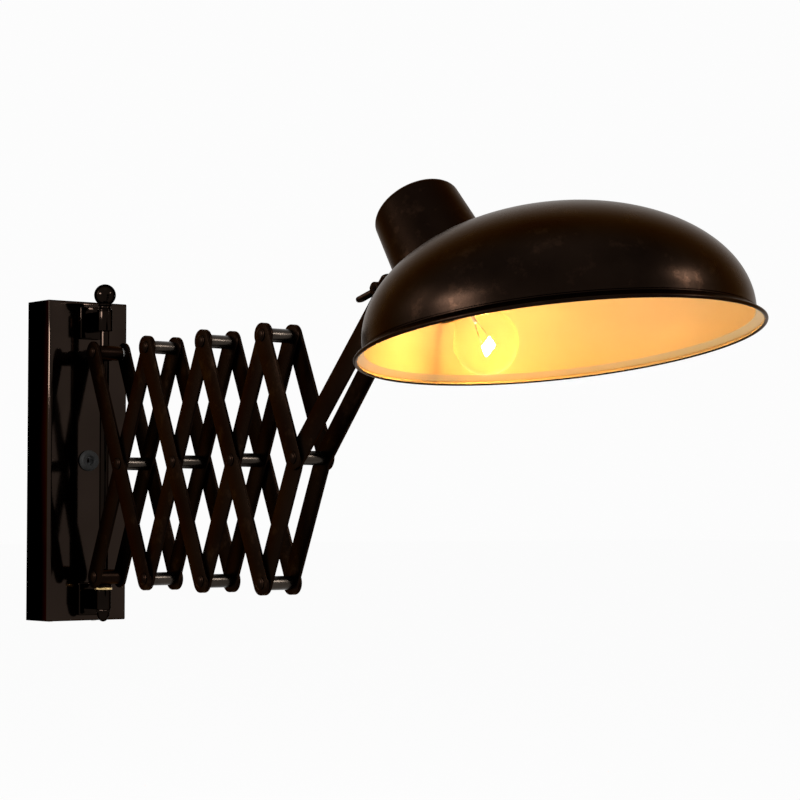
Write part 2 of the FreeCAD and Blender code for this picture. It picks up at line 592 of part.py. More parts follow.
def shade_reflector():
    """Spun steel dome with a narrow flared lip, a rolled bead and an off-centre neck hole."""
    sheet_t = S + "sheet_thick"
    dome = cut(dome_solid("0"), dome_solid(sheet_t))
    lip = cut(cone(S + "rim_r", S + "dome_r", S + "lip_height"),
              cone("%srim_r - %s" % (S, sheet_t), "%sdome_r - %s" % (S, sheet_t), S + "lip_height"))
    bead = doc.addObject("Part::Torus", "RimBead")
    bind(bead, Radius1="%srim_r - %s / 2" % (S, sheet_t), Radius2=S + "bead_r")
    neck = in_cup(drill(S + "neck_r", z=S + "cup_base_t"))
    return part("shade_reflector", in_shade(cut(fuse(dome, lip, bead), neck)))


def socket_cup():
    """Bell-shaped cup that stands on the dome and covers the lampholder."""
    flange = ring("%scup_base_r - %sflange_in" % (S, S), S + "neck_r",
                  S + "flange_low", S + "flange_high")
    shell = fuse(cut(cup_body("0"), cup_body(S + "cup_wall")), flange)
    drills = [drill(S + "screw_r", "-" + cup_at(pivot_t), "0", z, "X") for z in lug_screw_places]
    drills.append(drill(S + "peg_r", z=peg_z, along="Y"))
    drills.append(drill(S + "lead_hole_r", "-" + cup_at(S + "lead_t"), "0", S + "lead_t", "X"))
    return part("socket_cup", in_shade(cut(in_cup(cut(shell, *drills)), dome_solid("0"))))


def shade_ring():
    """Gallery ring: a sleeve up through the dome's hole and a lip under the dome."""
    bore_r = "%sneck_r - %sring_fit - %sring_wall" % (S, S, S)
    lip_inside = "%ssheet_thick + %sring_lip_t" % (S, S)
    sleeve = in_cup(ring("%sneck_r - %sring_fit" % (S, S), bore_r, S + "ring_low", S + "ring_high"))
    lip = in_cup(ring("%sneck_r + %sring_lip" % (S, S), bore_r, S + "ring_low", S + "ring_high"))
    under = common(lip, cut(dome_solid(S + "sheet_thick"), dome_solid(lip_inside)))
    return part("shade_ring", in_shade(fuse(cut(sleeve, dome_solid(lip_inside)), under)))


def cup_fasteners():
    """Screws that hold the lug and the lampholder's plate to the cup, and the lead's bush."""
    inside = "(%s - %scup_wall)" % (cup_at(pivot_t), S)
    grip = "(%scup_wall + %slug_tap_deep)" % (S, S)
    screws = []
    for z in lug_screw_places:
        shank = cylinder(S + "screw_r", "%s + %sscrew_head_h / 2" % (grip, S),
                         "-%s - %s" % (inside, grip), "0", z, "X")
        head = cylinder(S + "screw_head_r", "2 * %sscrew_head_h" % S,
                        "-%s - %sscrew_head_h" % (inside, S), "0", z, "X")
        screws.append(fuse(shank, common(head, cup_body(S + "cup_wall"))))
    part("lug_to_cup_screws", in_shade(in_cup(group(*screws))))
    rim = cup_at(peg_z)
    pegs = []
    for side, way in ((1, "Y"), (-1, "-Y")):
        tip_y, face_y = "%d * (%s - %speg_len)" % (side, rim, S), "%d * %s" % (side, rim)
        shank = cylinder(S + "peg_r", "%speg_len + %speg_head_h / 2" % (S, S), "0", tip_y, peg_z, way)
        head = ellipsoid(S + "peg_head_h", S + "peg_head_r", "0", face_y, peg_z, way)
        pegs.append(fuse(shank, cut(head, cup_body("0"))))
    part("holder_screws", in_shade(in_cup(group(*pegs))))
    start, z = "-%s - %sbush_flange_t" % (cup_at(S + "lead_t"), S), S + "lead_t"
    flange = cut(cylinder(S + "bush_flange_r", S + "bush_len", start, "0", z, "X"), cup_body("0"))
    sleeve = cylinder(S + "bush_r", S + "bush_len", start, "0", z, "X")
    bore = drill(S + "bush_bore_r", start, "0", z, "X")
    part("lead_bush", in_shade(in_cup(cut(fuse(flange, sleeve), bore))))


def lampholder():
    """Porcelain holder with a screw shell and contact, on a rimmed disc that a hollow nipple clamps."""
    low, high = S + "holder_low", S + "holder_high"
    roof = "(%s - %sholder_roof)" % (high, S)
    socket_r = "%sshell_r + %sshell_t" % (S, S)
    well = cylinder(socket_r, "%s - %s" % (roof, low), z=low)
    seat = cylinder(S + "nipple_r", S + "nipple_in", z="%s - %snipple_in" % (high, S))
    porcelain = cylinder(S + "holder_r", "%s - %s" % (high, low), z=low)
    part("holder_body", in_shade(in_cup(cut(porcelain, well, seat))))
    shell = ring(socket_r, S + "shell_r", "%s + %sshell_gap" % (low, S), roof)
    part("holder_shell", in_shade(in_cup(shell)))
    part("holder_contact", in_shade(in_cup(cylinder(S + "contact_r", S + "contact_h",
                                                    z="%s - %scontact_h" % (roof, S)))))
    disc_r = "%s - %scup_wall - %sdisc_gap" % (cup_at(high), S, S)
    nut_low = "%s + %sdisc_thick" % (high, S)
    disc = cut(cylinder(disc_r, S + "disc_rim", z=high),
               cylinder("%s - %sdisc_thick" % (disc_r, S), S + "disc_rim", z=nut_low))
    holes = [drill(S + "nipple_r", z=high), drill(S + "peg_r", z=peg_z, along="Y")]
    holes += [drill(S + "disc_hole_r", "%d * %sdisc_hole_x" % (side, S), z=high) for side in (-1, 1)]
    part("holder_plate", in_shade(in_cup(cut(disc, *holes))))
    nipple = ring(S + "nipple_r", S + "nipple_bore_r", "%s - %snipple_in" % (high, S),
                  "%s + %snipple_up" % (high, S))
    part("holder_nipple", in_shade(in_cup(nipple)))
    nut = ring(S + "nipple_nut_r", S + "nipple_r", nut_low, "%s + %snipple_nut_h" % (nut_low, S))
    part("holder_nut", in_shade(in_cup(nut)))


def bulb():
    """Screw-base lamp: glass globe on a tapered neck, metal cap, contact button, stem and filament."""
    low, high, join = S + "cap_low", S + "cap_high", S + "globe_join"
    shoulder = "sqrt(%sbulb_r^2 - %s^2)" % (S, join)
    taper = "%s - %s" % (low, join)
    glass = fuse(ellipsoid(S + "bulb_r", S + "bulb_r"), cone(shoulder, S + "neck_glass_r", taper, z=join))
    inner_r = "%sbulb_r - %sglass_wall" % (S, S)
    hollow = fuse(ellipsoid(inner_r, inner_r),
                  cone("%s - %sglass_wall" % (shoulder, S), "%sneck_glass_r - 2 * %sglass_wall" % (S, S),
                       taper, z=join))
    part("bulb_glass", in_shade(in_cup(cut(glass, hollow))))
    cap = cut(cylinder(S + "cap_r", "%s - %s" % (high, low), z=low),
              cylinder("%scap_r - %scap_wall" % (S, S), "%s - %s - %scap_top" % (high, low, S), z=low))
    part("bulb_cap", in_shade(in_cup(cap)))
    part("bulb_button", in_shade(in_cup(cone(S + "button_r", S + "button_tip_r", S + "button_h", z=high))))
    stem = fuse(cylinder(S + "stem_r", S + "stem_h", z=low),
                cone(S + "stem_tip_r", S + "stem_r", S + "stem_drop", z="%s - %sstem_drop" % (low, S)))
    wires = [turned(cylinder(S + "wire_r", S + "wire_len"), "%d * %swire_x" % (k, S), "0", S + "coil_z",
                    Vector(0, -k, 0), S + "wire_splay") for k in (-1, 1)]
    coil = cylinder(S + "coil_r", S + "coil_len", "-%scoil_len / 2" % S, "0", S + "coil_z", "X")
    part("bulb_filament", in_shade(in_cup(fuse(stem, coil, *wires))))


wall_plate()
wall_cover()
cover_screws()
rod_lug("upper_lug", 1)
rod_lug("lower_lug", -1)
lug_screws()
rod_parts()
wiring_parts()
scissor_frames()
long_arms()
tilt_lug()
tilt_bolt()
tilt_washers()
wing_nut()
shade_reflector()
socket_cup()
shade_ring()
cup_fasteners()
lampholder()
bulb()
doc.recompute()

os.makedirs("parts", exist_ok=True)
for obj in doc.Objects:
    if "Invalid" in obj.State or "Error" in obj.State:
        raise RuntimeError("failed: %s %s" % (obj.Name, obj.Label))
for obj in parts:
    if obj.Shape.isNull() or not obj.Shape.isValid():
        raise RuntimeError("bad shape: " + obj.Label)
    obj.Shape.exportStep("parts/%s.step" % obj.Label)
    box = obj.Shape.optimalBoundingBox(True)
    print("%-22s %2d solids %10.1f mm3  x %.1f..%.1f y %.1f..%.1f z %.1f..%.1f" % (
        obj.Label, len(obj.Shape.Solids), obj.Shape.Volume,
        box.XMin, box.XMax, box.YMin, box.YMax, box.ZMin, box.ZMax))
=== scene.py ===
import math

import bmesh
import bpy
from mathutils import Matrix, Vector


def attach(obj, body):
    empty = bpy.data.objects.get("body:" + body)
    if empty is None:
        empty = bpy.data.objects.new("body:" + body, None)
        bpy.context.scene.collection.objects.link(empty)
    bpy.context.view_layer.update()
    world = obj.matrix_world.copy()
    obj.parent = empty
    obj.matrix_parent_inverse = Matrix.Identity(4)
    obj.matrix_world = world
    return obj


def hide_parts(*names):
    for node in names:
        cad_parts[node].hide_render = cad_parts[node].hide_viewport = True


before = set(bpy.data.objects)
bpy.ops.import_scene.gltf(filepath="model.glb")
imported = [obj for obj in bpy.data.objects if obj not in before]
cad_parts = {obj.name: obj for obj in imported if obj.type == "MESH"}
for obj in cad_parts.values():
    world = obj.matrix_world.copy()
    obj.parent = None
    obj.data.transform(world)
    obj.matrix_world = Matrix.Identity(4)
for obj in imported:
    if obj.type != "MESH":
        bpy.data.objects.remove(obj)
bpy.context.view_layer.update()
mm = 0.001
weld = 1e-6

# places that several pieces share, in millimetres and degrees; bulbU and bulbW run along and
# up from the middle of the shade's mouth
lamp = {
    "rodX": 82, "pinX": 8.5, "latticeZ": -5.2, "barCentres": 268, "foldAngle": 23.75,
    "lastCrossing": 3.5, "armReach": 207.4, "armBend": 18.4, "shadeX": 833.3, "shadeZ": 86.3,
    "shadeTilt": 8.85, "bulbU": -96.3, "bulbW": 21.3, "cupLean": 29,
}
foldTurn = math.radians(lamp["foldAngle"])
halfBar = lamp["barCentres"] / 2
pitch = lamp["barCentres"] * math.sin(foldTurn)
rise = halfBar * math.cos(foldTurn)
up = Matrix()
alongY = Matrix.Rotation(-math.pi / 2, 4, "X")
againstY = Matrix.Rotation(math.pi / 2, 4, "X")
alongX = Matrix.Rotation(math.pi / 2, 4, "Y")


def moved(x, y, z):
    return Matrix.Translation((x * mm, y * mm, z * mm))


def turned(degrees, axis):
    return Matrix.Rotation(math.radians(degrees), 4, axis)


def jointAt(step, level):
    # a joint of the lattice: steps outwards from the rod, level -1 low, 0 at a crossing, 1 high
    x = lamp["rodX"] + lamp["pinX"] + step * pitch
    return moved(x, 0, lamp["latticeZ"] + level * rise)


armTurn = foldTurn + math.radians(lamp["armBend"])
armFoot = jointAt(lamp["lastCrossing"], 0)
pivotPlace = armFoot @ moved(lamp["armReach"] * math.sin(armTurn), 0,
                             lamp["armReach"] * math.cos(armTurn))
shadePlace = moved(lamp["shadeX"], 0, lamp["shadeZ"]) @ turned(-lamp["shadeTilt"], "Y")
bulbPlace = shadePlace @ moved(lamp["bulbU"], 0, lamp["bulbW"])
cupPlace = bulbPlace @ turned(-lamp["cupLean"], "Y")


# ---- camera, floor and light

stage = {
    "cameraPlace": (2.3804, -1.3827, -0.0636), "cameraTurn": (92.79, 0, 52), "lens": 108.95,
    "sensor": 36, "sight": 200, "aim": (0.5, 0, 0.05),
    "floorZ": -0.46, "floorSize": 60, "floorGlow": 0.96,
    "floorColour": (0.9, 0.9, 0.89, 1), "floorGrain": (0.93, 0.93, 0.92, 1),
    "worldFill": 0.12, "worldSeen": 0.975,
}
softBoxes = [
    # name, azimuth, height angle, distance, width, height, watts
    ("keyBox", -4, 16, 2.4, 0.8, 0.4, 70),
    ("sideBox", -34, 20, 2.3, 0.3, 0.9, 6),
    ("backBox", 125, 24, 2.7, 0.4, 0.4, 34),
    ("topBox", 52, 68, 2.4, 1.2, 1.2, 1.5),
]


def deselect():
    if bpy.context.object and bpy.context.object.mode != "OBJECT":
        bpy.ops.object.mode_set(mode="OBJECT")
    bpy.ops.object.select_all(action="DESELECT")


def setCamera():
    deselect()
    turn = [math.radians(a) for a in stage["cameraTurn"]]
    bpy.ops.object.camera_add(location=stage["cameraPlace"], rotation=turn)
    camera = bpy.context.object
    camera.data.lens = stage["lens"]
    camera.data.sensor_width = stage["sensor"]
    camera.data.clip_end = stage["sight"]
    bpy.context.scene.camera = camera


def setLights():
    aim = Vector(stage["aim"])
    for name, azimuth, height, distance, width, tall, watts in softBoxes:
        a, e = math.radians(azimuth), math.radians(height)
        away = Vector((math.sin(a) * math.cos(e), -math.cos(a) * math.cos(e), math.sin(e)))
        deselect()
        bpy.ops.object.light_add(type="AREA", location=aim + away * distance)
        box = bpy.context.object
        box.name = name
        box.data.shape = "RECTANGLE"
        box.data.size = width
        box.data.size_y = tall
        box.data.energy = watts
        box.rotation_euler = away.to_track_quat("Z", "Y").to_euler()


# ---- shader helpers

class Signal:
    # a shader value that can be used in sums
    def __init__(self, finish, socket):
        self.finish = finish
        self.socket = socket

    def sumOf(self, operation, first, second):
        return self.finish.node("ShaderNodeMath", {"operation": operation}, {0: first, 1: second})

    def __add__(self, other):
        return self.sumOf("ADD", self, other)

    def __radd__(self, other):
        return self.sumOf("ADD", other, self)

    def __sub__(self, other):
        return self.sumOf("SUBTRACT", self, other)

    def __mul__(self, other):
        return self.sumOf("MULTIPLY", self, other)

    def output(self, name):
        return Signal(self.finish, self.socket.node.outputs[name])

class Finish:
    # one material with a Principled shader; what stays the same all over is set straight on
    # its sockets
    def __init__(self, name, **fixed):
        self.material = bpy.data.materials.new(name)
        self.material.use_nodes = True
        self.tree = self.material.node_tree
        self.shader = self.tree.nodes["Principled BSDF"]
        for socket, value in fixed.items():
            self.shader.inputs[socket.replace("_", " ")].default_value = value
        self.where = self.node("ShaderNodeTexCoord", {}, {}).output("Object")

    def node(self, kind, settings, sockets):
        made = self.tree.nodes.new(kind)
        for setting, value in settings.items():
            if setting == "stops":
                ramp = made.color_ramp.elements
                for position, colour in value[:-2]:
                    ramp.new(position)
                for element, (position, colour) in zip(ramp, value):
                    element.position = position
                    element.color = colour
            else:
                setattr(made, setting, value)
        for socket, value in sockets.items():
            self.feed(made.inputs[socket], value)
        outputs = [o for o in made.outputs if o.enabled]
        return Signal(self, outputs[0])

    def feed(self, socket, value):
        if isinstance(value, Signal):
            self.tree.links.new(value.socket, socket)
        else:
            socket.default_value = value

    def drive(self, socket, value):
        self.feed(self.shader.inputs[socket], value)

    def noise(self, scale, detail=3, roughness=0.55, where=None):
        sockets = {"Vector": where or self.where, "Scale": scale, "Detail": detail,
                   "Roughness": roughness}
        return self.node("ShaderNodeTexNoise", {}, sockets)

    def cells(self, scale):
        sockets = {"Vector": self.where, "Scale": scale}
        return self.node("ShaderNodeTexVoronoi", {}, sockets).output("Color")

    def ramp(self, value, *stops):
        coloured = [(position, tuple(colour) + (1,)) for position, colour in stops]
        return self.node("ShaderNodeValToRGB", {"stops": coloured}, {0: value})

    def blendOf(self, factor, first, second):
        sockets = {0: factor, 6: first, 7: second}
        return self.node("ShaderNodeMix", {"data_type": "RGBA"}, sockets)

    def between(self, value, low, high):
        # 0 below low, 1 above high
        return self.node("ShaderNodeMapRange", {}, {0: value, 1: low, 2: high})

    def bump(self, height, strength, distance):
        sockets = {"Height": height, "Strength": strength, "Distance": distance}
        self.drive("Normal", self.node("ShaderNodeBump", {}, sockets))

    def inFrameOf(self, place):
        # object coordinates turned into the frame of a placed piece
        back = place.inverted()
        sockets = {"Vector": self.where, "Location": back.to_translation(),
                   "Rotation": back.to_euler()}
        return self.node("ShaderNodeMapping", {"vector_type": "POINT"}, sockets)

    def reach(self, where):
        # distance from the frame's Z axis
        split = self.node("ShaderNodeSeparateXYZ", {}, {0: where})
        x, y = split.output("X"), split.output("Y")
        return self.node("ShaderNodeMath", {"operation": "SQRT"}, {0: x * x + y * y})


def seenDirectly(tree, share):
    # the share where the eye, a mirror or glass looks at the backdrop, nothing where it would
    # light the lamp
    path = tree.nodes.new("ShaderNodeLightPath")
    seen = path.outputs["Is Camera Ray"]
    for ray in ("Is Glossy Ray", "Is Transmission Ray"):
        either = tree.nodes.new("ShaderNodeMath")
        either.operation = "MAXIMUM"
        tree.links.new(seen, either.inputs[0])
        tree.links.new(path.outputs[ray], either.inputs[1])
        seen = either.outputs[0]
    scaled = tree.nodes.new("ShaderNodeMath")
    scaled.operation = "MULTIPLY"
    tree.links.new(seen, scaled.inputs[0])
    scaled.inputs[1].default_value = share
    return scaled.outputs[0]


def setFloor():
    deselect()
    bpy.ops.mesh.primitive_plane_add(size=stage["floorSize"], location=(0, 0, stage["floorZ"]))
    floor = bpy.context.object
    floor.name = "paleFloor"
    paper = Finish("palePaper", Roughness=0.9, Specular_IOR_Level=0.1)
    grain = paper.noise(3, 4)
    paper.drive("Base Color", paper.blendOf(grain, stage["floorColour"], stage["floorGrain"]))
    glow = paper.node("ShaderNodeEmission", {}, {"Color": (1, 1, 1, 1), "Strength": 1.0})
    share = seenDirectly(paper.tree, stage["floorGlow"])
    plain = Signal(paper, paper.shader.outputs[0])
    both = paper.node("ShaderNodeMixShader", {}, {0: Signal(paper, share), 1: plain, 2: glow})
    paper.feed(paper.tree.nodes["Material Output"].inputs["Surface"], both)
    floor.data.materials.append(paper.material)


def setWorld():
    world = bpy.data.worlds.new("studioAir")
    world.use_nodes = True
    bpy.context.scene.world = world
    tree = world.node_tree
    air = tree.nodes["Background"]
    air.inputs["Color"].default_value = (1, 1, 1, 1)
    level = tree.nodes.new("ShaderNodeMapRange")
    level.inputs["To Min"].default_value = stage["worldFill"]
    level.inputs["To Max"].default_value = stage["worldSeen"]
    tree.links.new(seenDirectly(tree, 1.0), level.inputs[0])
    tree.links.new(level.outputs[0], air.inputs["Strength"])
    bpy.context.scene.view_settings.view_transform = "Standard"


setCamera()
setLights()
setFloor()
setWorld()
print("stage set")


# ---- finishes

bronze = {
    "tint": (0.56, 0.5, 0.46, 1), "rubbed": (0.03, 0.015, 0.009, 1), "rubShare": 0.4,
    "cloudScale": 14, "rubScale": 36, "speckScale": 1500, "peelScale": 240,
    "ringScale": 2100, "ringHeight": 0.14, "relief": 0.16, "depth": 0.0002,
}


def satinBronze(name, deep, warm, rough, spunAbout=None):
    # oil-rubbed bronze lacquer, soft sheen, a little red where it is rubbed thin
    finish = Finish(name, Metallic=1.0, Specular_Tint=bronze["tint"])
    cloud = finish.noise(bronze["cloudScale"], 4)
    base = finish.ramp(cloud, (0.3, deep), (0.72, warm))
    rub = finish.between(finish.noise(bronze["rubScale"], 6, 0.7), 0.56, 0.74)
    speck = finish.noise(bronze["speckScale"], 2)
    finish.drive("Base Color", finish.blendOf(rub * bronze["rubShare"], base, bronze["rubbed"]))
    finish.drive("Roughness", rough + cloud * 0.08 - rub * 0.05 + speck * 0.05)
    height = speck * 0.6 + finish.noise(bronze["peelScale"], 2) * 0.5
    if spunAbout:
        # faint rings of the spinning lathe
        turns = finish.reach(finish.inFrameOf(spunAbout)) * bronze["ringScale"]
        rings = finish.node("ShaderNodeMath", {"operation": "SINE"}, {0: turns})
        height = height + rings * bronze["ringHeight"]
    finish.bump(height, bronze["relief"], bronze["depth"])
    return finish.material


gloss = {"tint": (0.25, 0.22, 0.2, 1), "cloudScale": 9, "dustScale": 420, "peelScale": 70,
         "rough": 0.06, "relief": 0.1, "depth": 0.0003}


def glossBronze(name, deep, warm):
    # the same colour under a hard gloss lacquer
    finish = Finish(name, Metallic=1.0, Specular_Tint=gloss["tint"])
    cloud = finish.noise(gloss["cloudScale"], 3)
    finish.drive("Base Color", finish.ramp(cloud, (0.3, deep), (0.75, warm)))
    dust = finish.between(finish.noise(gloss["dustScale"], 4, 0.7), 0.62, 0.78)
    finish.drive("Roughness", gloss["rough"] + cloud * 0.06 + dust * 0.1)
    finish.bump(finish.noise(gloss["peelScale"], 2), gloss["relief"], gloss["depth"])
    return finish.material


enamel = {"low": (0.53, 0.39, 0.17), "high": (0.59, 0.44, 0.20), "cloudScale": 11,
          "peelScale": 180, "rough": 0.34, "relief": 0.12, "depth": 0.0003}


def creamEnamel(name):
    finish = Finish(name, IOR=1.5, Specular_IOR_Level=0.2)
    cloud = finish.noise(enamel["cloudScale"], 4)
    finish.drive("Base Color", finish.ramp(cloud, (0.3, enamel["low"]), (0.7, enamel["high"])))
    finish.drive("Roughness", enamel["rough"] + cloud * 0.12)
    finish.bump(finish.noise(enamel["peelScale"], 2), enamel["relief"], enamel["depth"])
    return finish.material


def plainMetal(name, low, high, rough, grainScale, stretch=1.0):
    # bare or plated metal with fine drawn or rolled marks
    finish = Finish(name, Metallic=1.0)
    sockets = {"Vector": finish.where, "Scale": (1, stretch, 1)}
    along = finish.node("ShaderNodeMapping", {}, sockets)
    marks = finish.noise(grainScale, 5, 0.65, along)
    cloud = finish.noise(25, 3)
    finish.drive("Base Color", finish.ramp(cloud * 0.6 + marks * 0.4, (0.35, low), (0.65, high)))
    finish.drive("Roughness", rough + marks * 0.16)
    finish.bump(marks, 0.12, 0.0002)
    return finish.material


zincSheet = {"low": (0.42, 0.43, 0.44), "high": (0.62, 0.63, 0.64), "flakeScale": 150,
             "cloudScale": 30, "rough": 0.32, "relief": 0.06, "depth": 0.0003}


def galvanised(name):
    # dipped sheet with grown flakes
    finish = Finish(name, Metallic=1.0)
    flakes = finish.node("ShaderNodeRGBToBW", {}, {0: finish.cells(zincSheet["flakeScale"])})
    cloud = finish.noise(zincSheet["cloudScale"], 4)
    tone = flakes * 0.7 + cloud * 0.3
    finish.drive("Base Color", finish.ramp(tone, (0.2, zincSheet["low"]), (0.8, zincSheet["high"])))
    finish.drive("Roughness", zincSheet["rough"] + flakes * 0.2)
    finish.bump(flakes * 0.4 + cloud * 0.6, zincSheet["relief"], zincSheet["depth"])
    return finish.material


def dullMoulding(name, low, high, rough, **fixed):
    # rubber, plastic or porcelain: a soft tone with a fine moulded grain
    finish = Finish(name, **fixed)
    cloud = finish.noise(40, 4)
    grain = finish.noise(900, 3)
    finish.drive("Base Color", finish.ramp(cloud, (0.3, low), (0.7, high)))
    finish.drive("Roughness", rough + grain * 0.12)
    finish.bump(grain * 0.5 + cloud * 0.5, 0.12, 0.0002)
    return finish.material


# glow and strength here give the glass a painted glow of its own, standing in for glare; only the
# filament is a light
glass = {"low": (0.30, 0.16, 0.04), "high": (0.42, 0.24, 0.08), "glow": (1.0, 0.6, 0.15, 1),
         "strength": 0.1, "middle": 0.02, "edge": 0.3, "rough": 0.03}


def glassWithPaintedGlow(name):
    # thin clear glass, denser where it is seen edge on; its faint emission is a painted glow on the
    # glass itself, standing in for the bulb's glare, while the filament gives the light
    finish = Finish(name, IOR=1.45, Emission_Color=glass["glow"],
                    Emission_Strength=glass["strength"])
    cloud = finish.noise(30, 3)
    finish.drive("Base Color", finish.ramp(cloud, (0.3, glass["low"]), (0.7, glass["high"])))
    finish.drive("Roughness", glass["rough"] + cloud * 0.03)
    slant = finish.node("ShaderNodeLayerWeight", {}, {"Blend": 0.3}).output("Facing")
    finish.drive("Alpha", glass["middle"] + cloud * 0.02 + slant * slant * glass["edge"])
    return finish.material


filament = {"low": (0.9, 0.6, 0.3), "high": (1, 0.75, 0.45), "glow": (1.0, 0.50, 0.14, 1),
            "strength": 900}


def hotWire(name):
    # this wire is the light of the bulb
    finish = Finish(name, Emission_Color=filament["glow"],
                    Emission_Strength=filament["strength"], Roughness=0.5)
    cloud = finish.noise(300, 2)
    tones = finish.ramp(cloud, (0.3, filament["low"]), (0.7, filament["high"]))
    finish.drive("Base Color", tones)
    return finish.material


looks = {
    "satin": satinBronze("satinBronze", (0.003, 0.0015, 0.0010), (0.006, 0.0032, 0.0020), 0.3),
    "spun": satinBronze("spunBronze", (0.0042, 0.0023, 0.0015), (0.0085, 0.0048, 0.0032), 0.22,
                        shadePlace),
    "gloss": glossBronze("glossBronze", (0.005, 0.0034, 0.0026), (0.010, 0.0066, 0.005)),
    "boxGloss": glossBronze("boxBronze", (0.015, 0.010, 0.0076), (0.023, 0.0155, 0.012)),
    "enamel": creamEnamel("creamEnamel"),
    "tube": plainMetal("blackenedSteel", (0.018, 0.014, 0.011), (0.045, 0.036, 0.029), 0.2,
                       500, 0.1),
    "zinc": plainMetal("zincPlate", (0.50, 0.50, 0.50), (0.68, 0.67, 0.64), 0.28, 400),
    "plate": galvanised("galvanisedSheet"),
    "brass": plainMetal("plainBrass", (0.50, 0.33, 0.12), (0.72, 0.52, 0.24), 0.25, 350),
    "cap": plainMetal("capMetal", (0.55, 0.54, 0.50), (0.75, 0.73, 0.68), 0.2, 350),
    "porcelain": dullMoulding("glazedPorcelain", (0.78, 0.76, 0.70), (0.86, 0.85, 0.80), 0.15,
                              Coat_Weight=0.5, Coat_Roughness=0.05),
    "rubber": dullMoulding("blackRubber", (0.010, 0.010, 0.010), (0.022, 0.021, 0.020), 0.6,
                           Specular_IOR_Level=0.1),
    "plastic": dullMoulding("terminalPlastic", (0.66, 0.64, 0.56), (0.76, 0.74, 0.67), 0.4),
    "glass": glassWithPaintedGlow("bulbGlassPaintedGlow"),
    "wire": hotWire("hotFilament"),
}
print("finishes made")


# ---- modelling helpers

def pick(obj, test, kind="FACE"):
    # in edit mode, selects the faces or points that pass the test, in world places
    bpy.ops.mesh.select_mode(type=kind)
    bpy.ops.mesh.select_all(action="DESELECT")
    mesh = bmesh.from_edit_mesh(obj.data)
    world = obj.matrix_world
    if kind == "FACE":
        for face in mesh.faces:
            middle = world @ face.calc_center_median()
            face.select_set(test(middle, world.to_3x3() @ face.normal))
    else:
        for point in mesh.verts:
            point.select_set(test(world @ point.co))
    mesh.select_flush_mode()
    bmesh.update_edit_mesh(obj.data)


def activate(obj):
    deselect()
    obj.select_set(True)
    bpy.context.view_layer.objects.active = obj


def editing(obj):
    activate(obj)
    bpy.ops.object.mode_set(mode="EDIT")


def apply(obj, kind, **settings):
    activate(obj)
    modifier = obj.modifiers.new(kind.lower(), kind)
    for setting, value in settings.items():
        setattr(modifier, setting, value)
    bpy.ops.object.modifier_apply(modifier=modifier.name)
    return obj


def rounded(obj, width, segments=2):
    return apply(obj, "BEVEL", width=width * mm, segments=segments, limit_method="ANGLE",
                 angle_limit=math.radians(38))


def combined(obj, other, operation="UNION"):
    apply(obj, "BOOLEAN", object=other, operation=operation, solver="EXACT")
    bpy.data.objects.remove(other)
    return obj


def cutBy(obj, cutter):
    return combined(obj, cutter, "DIFFERENCE")


def settled(obj, place=up):
    # moves the object's place into its mesh
    bpy.context.view_layer.update()
    obj.data.transform(place @ obj.matrix_world)
    obj.matrix_world = Matrix()
    return obj


def copied(obj, place):
    twin = obj.copy()
    twin.data = obj.data.copy()
    bpy.context.collection.objects.link(twin)
    twin.data.transform(place)
    return twin


def copiesAt(one, places):
    made = [copied(one, place) for place in places]
    bpy.data.objects.remove(one)
    return made


def joined(objects):
    if len(objects) > 1:
        deselect()
        for obj in objects:
            obj.select_set(True)
        bpy.context.view_layer.objects.active = objects[0]
        bpy.ops.object.join()
    return objects[0]

def arc(middleR, middleZ, radiusR, radiusZ, start, end, cuts):
    # points of an elliptic arc in an outline, angles from the outward direction
    points = []
    for k in range(cuts + 1):
        a = math.radians(start + (end - start) * k / cuts)
        points.append((middleR + radiusR * math.cos(a), middleZ + radiusZ * math.sin(a)))
    return points


def curved(start, bend, end, cuts):
    # points of a curve from start to end that leans towards the bend
    points = []
    for k in range(cuts + 1):
        t = k / cuts
        spot = start * (1 - t) ** 2 + bend * 2 * t * (1 - t) + end * t ** 2
        points.append((spot.x, spot.y))
    return points


def softened(outline, radius, cuts=3):
    # rounds the corners of a closed outline that stand off the axis
    result = []
    for k, point in enumerate(outline):
        here = Vector(point)
        before = Vector(outline[k - 1]) - here
        after = Vector(outline[(k + 1) % len(outline)]) - here
        room = min(radius, before.length * 0.45, after.length * 0.45)
        if here.x < weld or room < 0.02:
            result.append(point)
            continue
        start, end = here + before.normalized() * room, here + after.normalized() * room
        result += curved(start, here, end, cuts)
    return result


def ringOutline(inner, outer, low, high, edge):
    corners = [(inner, low), (outer, low), (outer, high), (inner, high)]
    return softened(corners, edge)


def lathe(name, outline, steps=64):
    # draws a point along the outline and spins it round Z; an outline off the axis is closed
    deselect()
    onAxis = outline[0][0] < weld and outline[-1][0] < weld
    points = list(outline) + ([] if onAxis else [outline[0]])
    radius, height = points[0]
    bpy.ops.mesh.primitive_plane_add(size=mm, location=(radius * mm, 0, height * mm))
    obj = bpy.context.object
    obj.name = name
    bpy.ops.object.mode_set(mode="EDIT")
    bpy.ops.mesh.select_mode(type="VERT")
    bpy.ops.mesh.select_all(action="SELECT")
    bpy.ops.mesh.merge(type="CENTER")
    for before, after in zip(points, points[1:]):
        step = ((after[0] - before[0]) * mm, 0, (after[1] - before[1]) * mm)
        bpy.ops.mesh.extrude_region_move(TRANSFORM_OT_translate={"value": step})
    bpy.ops.mesh.select_all(action="SELECT")
    bpy.ops.mesh.spin(steps=steps, angle=2 * math.pi, center=(0, 0, 0), axis=(0, 0, 1))
    bpy.ops.mesh.select_all(action="SELECT")
    bpy.ops.mesh.remove_doubles(threshold=weld)
    bpy.ops.mesh.delete_loose(use_verts=True, use_edges=True, use_faces=False)
    bpy.ops.mesh.select_all(action="SELECT")
    bpy.ops.mesh.normals_make_consistent(inside=False)
    bpy.ops.object.mode_set(mode="OBJECT")
    return settled(obj)


